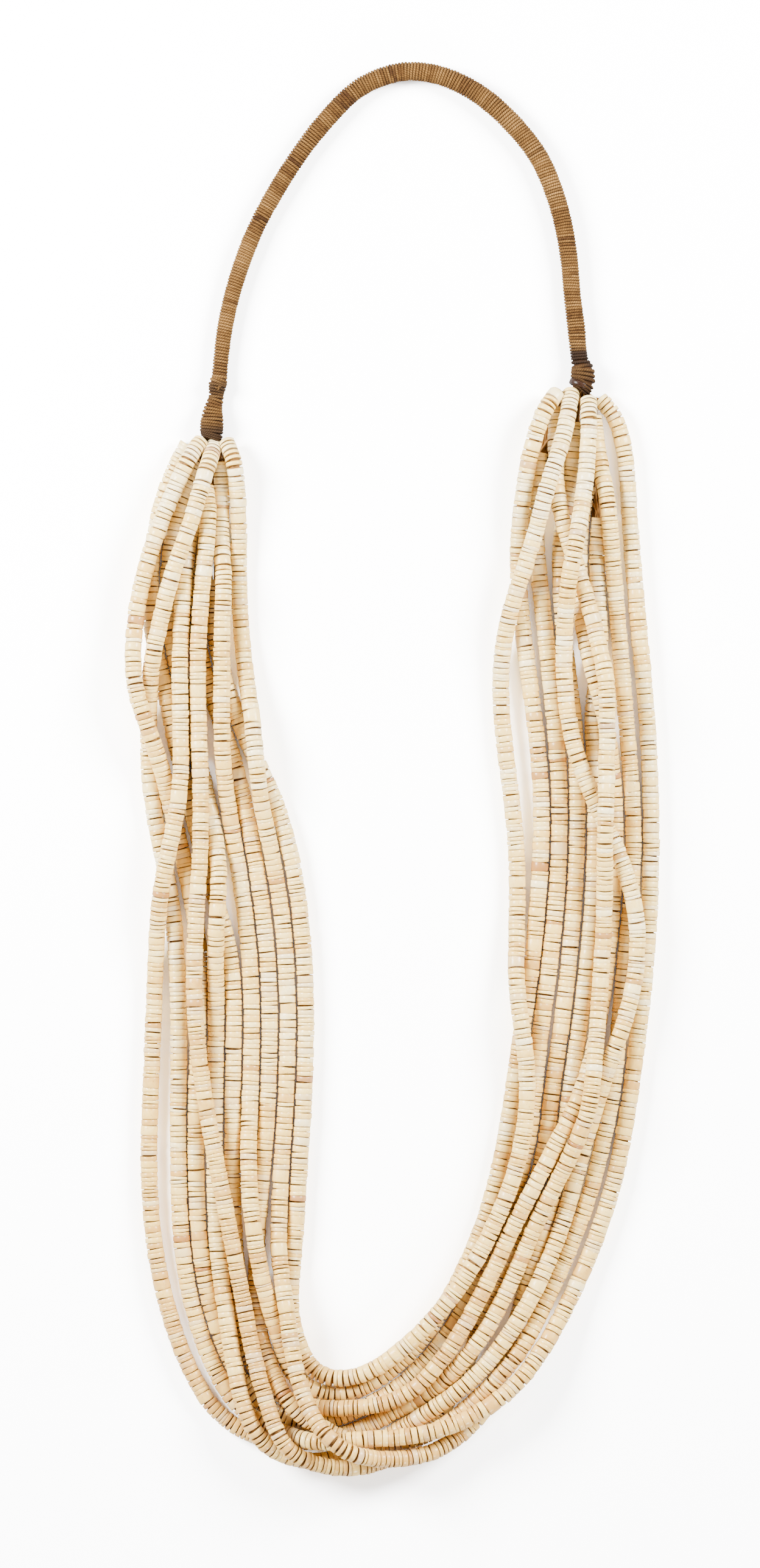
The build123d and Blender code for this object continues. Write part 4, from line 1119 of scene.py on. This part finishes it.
def knot_piece(name, material):
    """Small overhand knot lying on the left binding."""
    turn = np.linspace(0, math.tau, KNOT_POINTS)
    points = np.column_stack([
        KNOT_PLACE[0] + KNOT_SIZE * (np.sin(turn) + 1.2 * np.sin(2 * turn)) * 0.6,
        KNOT_PLACE[1] + KNOT_SIZE * (np.cos(turn) - 1.2 * np.cos(2 * turn)) * 0.45,
        KNOT_PLACE[2] - KNOT_SIZE * np.sin(3 * turn) * 0.5,
    ])
    return wound(name, [plain_path(points, KNOT_TWINE_D, 0.6, 0.3)], material)


def strap_piece(name):
    """Flat dark strap that runs slanted round the right binding."""
    way = np.array([*STRAP_WAY, 0])
    side = np.array([way[1], -way[0], 0])
    points = []
    for angle in np.arange(STRAP_POINTS) * math.tau / STRAP_POINTS:
        out = side * math.cos(angle) + np.array([0, 0, math.sin(angle)])
        for across, high in STRAP_SECTION:
            reach = out * (STRAP_RADIUS + high * STRAP_THICKNESS)
            place = np.array(STRAP_PLACE) + reach + way * across * STRAP_WIDTH
            points.append((place[0], place[1], max(place[2], TABLE_GAP)))
    return outward(name, shifted(points), ring_faces(STRAP_POINTS, len(STRAP_SECTION), closed=True))


def bezier(start, first, second, end):
    """Points along a cubic curve."""
    t = np.linspace(0, 1, THREAD_POINTS)[:, None]
    return start * (1 - t) ** 3 + first * 3 * t * (1 - t) ** 2 + second * 3 * t * t * (1 - t) + end * t ** 3


def thread_tails(rows, end, inner, draw):
    """Bare threads that run low from a binding's end into the end of a string."""
    way = end_way(rows)
    foot = np.array(rows[-1][:3])
    into = (end - inner) / np.linalg.norm(end - inner)
    span = np.linalg.norm(end - foot)
    tails = []
    for _ in range(THREADS):
        root = foot + (draw.uniform(*TAIL_ACROSS), 0, draw.uniform(*TAIL_UP)) - way * TAIL_INSET
        inside = end - into * TAIL_INSET + draw.uniform(-TAIL_STRAY, TAIL_STRAY, 3)
        low = np.array([*draw.uniform(-0.05, 0.05, 2) * span, -TAIL_SAG * min(span, TAIL_SPAN)])
        leave = root + way * 0.4 * span + low
        enter = inside + into * min(0.3 * span, 3) + low * 0.5
        tail = bezier(root, leave, enter, inside)
        tail[:, 2] = np.maximum(tail[:, 2], THREAD_D / 2)
        tails.append(tail)
    return tails


def shade_thread_fan(start, end, count, spread, draw):
    """Bare threads side by side, low in a gather, that stand in for the shade in a gap."""
    fan = []
    for k in range(count):
        drift = np.array([(k / (count - 1) - 0.5) * spread, 0, 0])
        first, last = (np.array([*spot, FAN_HEIGHT]) + drift + draw.uniform(-FAN_STRAY, FAN_STRAY, 3)
                       for spot in (start, end))
        fan.append(bezier(first, first * 0.7 + last * 0.3 + draw.uniform(-0.3, 0.3, 3), last, last))
    return fan


# Finishes

def finish_node(name):
    """New material with its Principled shader."""
    material = bpy.data.materials.new(name)
    material.use_nodes = True
    return material, material.node_tree, material.node_tree.nodes["Principled BSDF"]


def ramp(tree, value, stops):
    """Colour ramp output over the given (place, colour) stops."""
    node = put(tree, "ShaderNodeValToRGB", {"Fac": value})
    band = node.color_ramp
    while len(band.elements) < len(stops):
        band.elements.new(0.5)
    for element, (place, colour) in zip(band.elements, stops):
        element.position = place
        element.color = (*colour, 1)
    return node.outputs["Color"]


def blended(tree, amount, first, second):
    """Mix of two colours."""
    first, second = (part if isinstance(part, bpy.types.NodeSocket) else (*part, 1)
                     for part in (first, second))
    return put(tree, "ShaderNodeMix", {0: amount, 6: first, 7: second}, data_type="RGBA").outputs[2]


def mark(tree, name):
    """Value of a piece's own attribute."""
    return put(tree, "ShaderNodeAttribute", attribute_name=name).outputs["Fac"]


def ranged(tree, value, low, high, to_low=0.0, to_high=1.0):
    """Value taken from one range to another, held inside it."""
    return put(tree, "ShaderNodeMapRange", {0: value, 1: low, 2: high, 3: to_low, 4: to_high}).outputs[0]


def mottled_tone(tree, mottle, amount):
    """A piece's own tone, made lighter and darker by the mottling."""
    return plus(tree, mark(tree, "tone"), times(tree, maths(tree, "SUBTRACT", mottle, 0.5), amount))


@functools.cache
def flecks_group():
    """Shader group: soft mottling and small sharp flecks on the given coordinates."""
    tree = bpy.data.node_groups.new("Flecks", "ShaderNodeTree")
    add_sockets(tree, "INPUT", [
        ("Vector", "NodeSocketVector", None),
        ("Mottle Scale", "NodeSocketFloat", 300.0),
        ("Fleck Scale", "NodeSocketFloat", 1500.0),
        ("Fleck Cut", "NodeSocketFloat", 0.68),
    ])
    add_sockets(tree, "OUTPUT", [(label, "NodeSocketFloat", None) for label in ("Mottle", "Fleck")])
    given = tree.nodes.new("NodeGroupInput").outputs
    soft = put(tree, "ShaderNodeTexNoise",
               {"Vector": given["Vector"], "Scale": given["Mottle Scale"], "Detail": 3.0}).outputs["Fac"]
    sharp = put(tree, "ShaderNodeTexNoise",
                {"Vector": given["Vector"], "Scale": given["Fleck Scale"], "Detail": 2.0}).outputs["Fac"]
    edge = plus(tree, given["Fleck Cut"], FLECK_EDGE)
    put(tree, "NodeGroupOutput", {"Mottle": soft, "Fleck": ranged(tree, sharp, given["Fleck Cut"], edge)})
    return tree


def flecks(tree, mottle_scale, fleck_scale, cut):
    """Places the flecks group on object coordinates and returns its two outputs."""
    place = put(tree, "ShaderNodeTexCoord").outputs["Object"]
    group = put(tree, "ShaderNodeGroup", node_tree=flecks_group())
    fill(tree, group, {"Vector": place, "Mottle Scale": mottle_scale, "Fleck Scale": fleck_scale,
                       "Fleck Cut": cut})
    return group.outputs["Mottle"], group.outputs["Fleck"]


def bump(tree, shader, height, distance, strength):
    """Joins a height to a shader's normal."""
    node = put(tree, "ShaderNodeBump", {"Height": height, "Strength": strength, "Distance": distance})
    fill(tree, shader, {"Normal": node.outputs["Normal"]})


def shell_material(look):
    """Ground shell: ivory to tan by disc, darker worn rims, flecks and a soft polish."""
    material, tree, shader = finish_node("shell")
    mottle, fleck = flecks(tree, mottle_scale=420.0, fleck_scale=1900.0, cut=0.66)
    base = ramp(tree, mottled_tone(tree, mottle, 0.55),
                [(0.0, look.tan), (0.35, look.cream), (0.75, look.ivory), (1.0, look.pale)])
    cool = ranged(tree, mark(tree, "hue"), 0.84, 0.92, to_low=0.0, to_high=0.45)
    base = blended(tree, cool, base, look.grey)
    base = blended(tree, mark(tree, "stain"), base, look.stain)
    base = blended(tree, times(tree, fleck, 0.5), base, look.fleck)
    grime = ranged(tree, mark(tree, "hue"), 0.0, 1.0, to_low=0.45, to_high=0.95)
    base = blended(tree, times(tree, mark(tree, "rim"), grime), base, look.grime)
    fill(tree, shader, {
        "Base Color": base, "Roughness": ranged(tree, mottle, 0.3, 0.7, to_low=0.32, to_high=0.5),
        "Specular IOR Level": 0.3, "Coat Weight": 0.3, "Coat Roughness": 0.14})
    bump(tree, shader, plus(tree, mottle, times(tree, fleck, -0.5)), distance=0.12 * MM, strength=0.6)
    return material


def twine_material(name, look, shade=1.0):
    """Two-ply twine: fibres along the ply, tone by turn, painted shade in the ply grooves and between the
    turns, and dark stains.
    """
    light, middle = (tuple(shade * part for part in paint) for paint in (look.light, look.middle))
    material, tree, shader = finish_node(name)
    mottle, fleck = flecks(tree, mottle_scale=900.0, fleck_scale=3500.0, cut=0.6)
    around = put(tree, "ShaderNodeAttribute", attribute_name="around").outputs["Vector"]
    around = put(tree, "ShaderNodeSeparateXYZ", {0: around}).outputs
    turn = maths(tree, "ARCTAN2", around["Y"], around["X"])
    twist = times(tree, mark(tree, "along"), 2 * math.tau / look.ply)
    plies = maths(tree, "SINE", plus(tree, times(tree, turn, 2.0), twist))
    groove = ranged(tree, plies, -1.0, 0.3)
    base = ramp(tree, mottled_tone(tree, mottle, 0.7), [(0.0, look.dark), (0.45, middle), (1.0, light)])
    # Painted shade in the grooves between the plies.
    base = blended(tree, ranged(tree, groove, 0.0, 1.0, to_low=0.6, to_high=0.0), base, look.dark)
    base = blended(tree, times(tree, fleck, 0.15), base, light)
    # Painted shade between the turns: the sides of the twine that face away from outwards are darkened.
    turn_shade = ranged(tree, mark(tree, "crown"), 0.35, 0.9, to_low=0.95, to_high=0.0)
    base = blended(tree, turn_shade, base, look.dark)
    base = blended(tree, mark(tree, "stain"), base, look.stain)
    roughness = ranged(tree, mark(tree, "stain"), 0.0, 1.0, to_low=0.8, to_high=0.6)
    fill(tree, shader, {"Base Color": base, "Roughness": roughness, "Specular IOR Level": 0.08})
    bump(tree, shader, plus(tree, groove, times(tree, mottle, 0.6)), distance=0.22 * MM, strength=0.9)
    return material


def plain_fibre_material(name, paint, roughness, specular=0.08):
    """Dark fibre of the cores, threads and the strap, with fine mottling."""
    material, tree, shader = finish_node(name)
    mottle, fleck = flecks(tree, mottle_scale=700.0, fleck_scale=2600.0, cut=0.62)
    deep = tuple(0.45 * part for part in paint)
    fill(tree, shader, {
        "Base Color": blended(tree, ranged(tree, mottle, 0.3, 0.7), deep, paint),
        "Roughness": ranged(tree, mottle, 0.3, 0.7, to_low=roughness - 0.1, to_high=roughness + 0.1),
        "Specular IOR Level": specular})
    bump(tree, shader, plus(tree, mottle, fleck), distance=0.1 * MM, strength=0.5)
    return material


def table_material(look):
    """Matt white table that the picture overexposes, though not in the light that it throws back."""
    material, tree, shader = finish_node("table")
    fill(tree, shader, {"Base Color": (*look.floor, 1), "Roughness": 0.9, "Specular IOR Level": 0.1})
    seen = put(tree, "ShaderNodeBsdfDiffuse", {"Color": (*(part * look.whiteness for part in look.floor), 1)})
    path = put(tree, "ShaderNodeLightPath")
    both = put(tree, "ShaderNodeMixShader", {0: path.outputs["Is Camera Ray"], 1: shader.outputs[0],
                                             2: seen.outputs[0]})
    fill(tree, tree.nodes["Material Output"], {"Surface": both.outputs[0]})
    return material


# Settings

def number_property(name, description, value, **more):
    """Number property that is never negative."""
    return bpy.props.FloatProperty(name=name, description=description, default=value, min=0.0, **more)


def length_property(name, description, value):
    """Length property in metres."""
    return number_property(name, description, value, precision=5, unit="LENGTH")


def colour_property(name, description, value):
    """Colour property."""
    return bpy.props.FloatVectorProperty(name=name, description=description, default=value, min=0.0, max=1.0,
                                         size=3, subtype="COLOR")


class NecklaceStringSettings(bpy.types.PropertyGroup):
    """Sizes and colours of the strings of discs."""

    thickness: length_property("Disc Thickness", "Mean thickness of a disc", 1.5 * MM)
    gap: length_property("Gap", "Mean gap between one disc and the next", 0.05 * MM)
    side_step: length_property("Side Step", "How far a disc may sit off its thread", 0.10 * MM)
    unevenness: length_property("Unevenness", "Depth of the uneven grinding", 0.16 * MM)
    lean: bpy.props.FloatProperty(name="Lean", description="Largest tilt of a disc on its thread",
                                  default=math.radians(3.0), subtype="ANGLE")
    seed: bpy.props.IntProperty(name="Seed", description="Seed of all random values", default=17)
    tan: colour_property("Tan", "Darkest plain discs", (0.62, 0.34, 0.075))
    cream: colour_property("Cream", "Most discs", (0.85, 0.55, 0.135))
    ivory: colour_property("Ivory", "Paler discs", (0.93, 0.68, 0.23))
    pale: colour_property("Pale", "Palest discs", (0.96, 0.80, 0.44))
    grey: colour_property("Grey", "Cool greyish discs", (0.76, 0.60, 0.36))
    stain: colour_property("Stain", "Rare orange-brown discs", (0.34, 0.12, 0.025))
    fleck: colour_property("Fleck", "Small flecks in the shell", (0.42, 0.20, 0.05))
    grime: colour_property("Grime", "Dirt in the seams between discs", (0.17, 0.07, 0.015))


class NecklaceTwineSettings(bpy.types.PropertyGroup):
    """Sizes and colours of the twine."""

    diameter: length_property("Twine Diameter", "Diameter of the wound twine", 0.92 * MM)
    ply: length_property("Ply Length", "Length of one twist of the twine", 1.2 * MM)
    seed: bpy.props.IntProperty(name="Seed", description="Seed of all random values", default=5)
    light: colour_property("Light", "Palest turns", (0.295, 0.154, 0.043))
    middle: colour_property("Middle", "Most turns", (0.158, 0.076, 0.018))
    # Dark also paints the shade in the ply grooves and between the turns, and colours the cores.
    dark: colour_property("Dark", "Darkest turns and grooves", (0.045, 0.018, 0.005))
    stain: colour_property("Stain", "Old dark stains", (0.014, 0.007, 0.004))
    binding_shade: number_property("Binding Shade", "Darker twine of the bindings", 0.86)
    # The thread colour also paints shade: it colours the thick rods in the strings and the fans in the
    # gathers.
    thread: colour_property("Thread", "Bare threads at the gathers", (0.30, 0.145, 0.040))
    strap: colour_property("Strap", "Dark strap of the right binding", (0.030, 0.013, 0.007))


class NecklaceStageSettings(bpy.types.PropertyGroup):
    """Floor, light and camera."""

    floor: colour_property("Floor", "Colour of the table", (0.62, 0.62, 0.62))
    whiteness: number_property("Whiteness", "How far the picture overexposes the table", 3.9)
    room_light: number_property("Room Light", "Strength of the light from all around", 0.46)
    camera_height: length_property("Camera Height", "Height of the camera over the table", 1.6)
    frame_height: length_property("Frame Height", "Height of the picture on the table",
                                  PICTURE_ROWS * PIXEL * MM)
    soft_light: number_property("Soft Light", "Power of a wide light", 42.0, subtype="POWER", unit="POWER")


def keep(piece, material, nodes=()):
    """Gives a piece its finish, its body and the nodes that it stands for."""
    piece.data.materials.clear()
    piece.data.materials.append(material)
    if nodes:
        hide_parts(*nodes)
    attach(piece, "root")


class NECKLACE_OT_lay_strings(bpy.types.Operator):
    """Lay the ten strings of discs, each on its own thread"""

    bl_idname = "necklace.lay_strings"
    bl_label = "Lay Strings"

    def execute(self, context):
        look = context.scene.necklace_strings
        material = shell_material(look)
        shapes = disc_shapes(np.random.default_rng(look.seed))
        tree = strung_discs_tree()
        laid = {}
        for number, (name, knots) in enumerate(layout()[3].items()):
            draw = np.random.default_rng(look.seed + number)
            line = smooth_line(knots, curls_of(name))
            laid[name] = lay_discs(line, draw, STRING_LOOKS[name], look, WIDE_DISCS.get(name))
        for place in STAINED_DISCS:
            stain_disc(laid, place)
        for number, (name, (points, marks)) in enumerate(laid.items()):
            piece = shaped(name + "_discs", points_mesh(name, points, marks), tree, {
                "Shapes": shapes, "Lean": look.lean, "Side Step": look.side_step,
                "Unevenness": look.unevenness, "Seed": look.seed + number * 10, "Material": material})
            keep(piece, material, [name])
        for shape in list(shapes.objects):
            bpy.data.objects.remove(shape)
        bpy.data.collections.remove(shapes)
        return {"FINISHED"}


class NECKLACE_OT_wind_wrap(bpy.types.Operator):
    """Wind the arched neck piece with twine"""

    bl_idname = "necklace.wind_wrap"
    bl_label = "Wind Neck Piece"

    def execute(self, context):
        look = context.scene.necklace_twine
        rows = layout()[0]
        draw = np.random.default_rng(look.seed)
        path = wind(rows, draw, WRAP_PITCH, look.diameter / MM, WRAP_SLANT)
        material = twine_material("twine", look)
        keep(wound("neck_wrap_turns", [path], material), material, ["neck_wrap"])
        core = core_mesh("neck_wrap_core", rows, WRAP_CORE_INSET * look.diameter / MM)
        keep(core, plain_fibre_material("core", tuple(look.dark), 0.8))
        return {"FINISHED"}


class NECKLACE_OT_bind_ends(bpy.types.Operator):
    """Wind the two bindings, tie the knot on the left one and fit the dark strap"""

    bl_idname = "necklace.bind_ends"
    bl_label = "Bind Ends"

    def execute(self, context):
        look = context.scene.necklace_twine
        material = twine_material("binding_twine", look, look.binding_shade)
        dark = plain_fibre_material("binding_core", tuple(look.dark), 0.8)
        plans = zip(("left_binding", "right_binding"), layout()[1:3], (LEFT_WINDING, RIGHT_WINDING))
        for number, (name, rows, plan) in enumerate(plans):
            draw = np.random.default_rng(look.seed + 10 + number)
            paths = [wind(rows, draw, pitch, twine_d, (slant, BINDING_SLANT_CHANGE), (first, last))
                     for first, last, pitch, twine_d, slant in plan]
            keep(wound(name + "_turns", paths, material), material, [name])
            core = core_mesh(name + "_core", rows, BINDING_CORE_INSET * look.diameter / MM)
            keep(core, dark)
        keep(knot_piece("left_binding_knot", material), material)
        leather = plain_fibre_material("strap", tuple(look.strap), roughness=0.3, specular=0.14)
        keep(strap_piece("right_binding_strap"), leather)
        return {"FINISHED"}


class NECKLACE_OT_draw_threads(bpy.types.Operator):
    """Run the bare threads through the strings and into the bindings; the thick rods in the strings and the
    fans in the gathers are painted shade in the gaps
    """

    bl_idname = "necklace.draw_threads"
    bl_label = "Draw Threads"

    def execute(self, context):
        look = context.scene.necklace_twine
        _, left, right, settled = layout()
        draw = np.random.default_rng(look.seed + 30)
        lines = []
        for name, knots in settled.items():
            points = smooth_line(knots, curls_of(name))[1]
            # Thick rods along the string's line: the thread in the discs' holes, thick enough to show in the
            # gaps between discs as painted shade.
            lines.append((points[SEAM_SHADE_INSET:-SEAM_SHADE_INSET:SEAM_SHADE_STRIDE], SEAM_SHADE_ROD_D))
            ends = (left, points[0], points[TAIL_INNER]), (right, points[-1], points[-1 - TAIL_INNER])
            for rows, end, inner in ends:
                lines += [(tail, THREAD_D) for tail in thread_tails(rows, end, inner, draw)]
        for start, end, count, spread in SHADE_THREAD_FANS:
            lines += [(thread, FAN_THREAD_D) for thread in shade_thread_fan(start, end, count, spread, draw)]
        paths = [plain_path(points, thread_d, 0.5, 0.0) for points, thread_d in lines]
        material = plain_fibre_material("thread", tuple(look.thread), roughness=0.7)
        keep(wound("string_threads", paths, material, sides=5), material)
        return {"FINISHED"}


class NECKLACE_OT_set_stage(bpy.types.Operator):
    """Set the pale table, the soft light and the camera straight above"""

    bl_idname = "necklace.set_stage"
    bl_label = "Set Stage"

    def execute(self, context):
        look = context.scene.necklace_stage
        corners = [(FLOOR_REACH * x, FLOOR_REACH * y, 0) for x, y in ((-1, -1), (1, -1), (1, 1), (-1, 1))]
        floor = outward("table", corners, [(0, 1, 2, 3)])
        floor.data.materials.append(table_material(look))
        world = bpy.data.worlds.new("soft room")
        world.use_nodes = True
        fill(world.node_tree, world.node_tree.nodes["Background"], {"Color": (1, 1, 1, 1),
                                                                    "Strength": look.room_light})
        context.scene.world = world
        for name, place, size, share in LIGHTS:
            lamp = bpy.data.lights.new(name, "AREA")
            lamp.shape = "RECTANGLE"
            lamp.size, lamp.size_y = size
            lamp.energy = look.soft_light * share
            body = bpy.data.objects.new(name, lamp)
            body.location = place
            body.rotation_euler = (-Vector(place)).to_track_quat("-Z", "Y").to_euler()
            context.scene.collection.objects.link(body)
        camera = bpy.data.cameras.new("camera")
        camera.sensor_fit = "VERTICAL"
        camera.sensor_height = 36.0
        camera.lens = camera.sensor_height * look.camera_height / look.frame_height
        eye = bpy.data.objects.new("camera", camera)
        middle = shifted([PHOTO_MIDDLE])[0]
        eye.location = (middle[0], middle[1], look.camera_height)
        context.scene.collection.objects.link(eye)
        context.scene.camera = eye
        return {"FINISHED"}


class NECKLACE_PT_panel(bpy.types.Panel):
    """Sizes, colours and steps of the necklace"""

    bl_idname = "NECKLACE_PT_panel"
    bl_label = "Necklace"
    bl_space_type = "VIEW_3D"
    bl_region_type = "UI"
    bl_category = "Necklace"

    def draw(self, context):
        for group, steps in PANEL_ROWS:
            settings = getattr(context.scene, group)
            box = self.layout.box()
            for name in settings.__annotations__:
                box.prop(settings, name)
            for step in steps:
                box.operator(step)


GROUPS = {"necklace_strings": NecklaceStringSettings, "necklace_twine": NecklaceTwineSettings,
          "necklace_stage": NecklaceStageSettings}
OPERATORS = (NECKLACE_OT_lay_strings, NECKLACE_OT_wind_wrap, NECKLACE_OT_bind_ends, NECKLACE_OT_draw_threads,
             NECKLACE_OT_set_stage)
PANEL_ROWS = (("necklace_strings", ["necklace.lay_strings"]),
              ("necklace_twine", ["necklace.wind_wrap", "necklace.bind_ends", "necklace.draw_threads"]),
              ("necklace_stage", ["necklace.set_stage"]))


def register():
    for kind in (*GROUPS.values(), *OPERATORS, NECKLACE_PT_panel):
        bpy.utils.register_class(kind)
    for name, kind in GROUPS.items():
        setattr(bpy.types.Scene, name, bpy.props.PointerProperty(type=kind))


def unregister():
    for name in GROUPS:
        delattr(bpy.types.Scene, name)
    for kind in (NECKLACE_PT_panel, *reversed(OPERATORS), *GROUPS.values()):
        bpy.utils.unregister_class(kind)


def main():
    """Builds the necklace and its stage."""
    register()
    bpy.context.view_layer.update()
    bpy.ops.necklace.lay_strings()
    bpy.ops.necklace.wind_wrap()
    bpy.ops.necklace.bind_ends()
    bpy.ops.necklace.draw_threads()
    bpy.ops.necklace.set_stage()


if __name__ == "__main__":
    main()
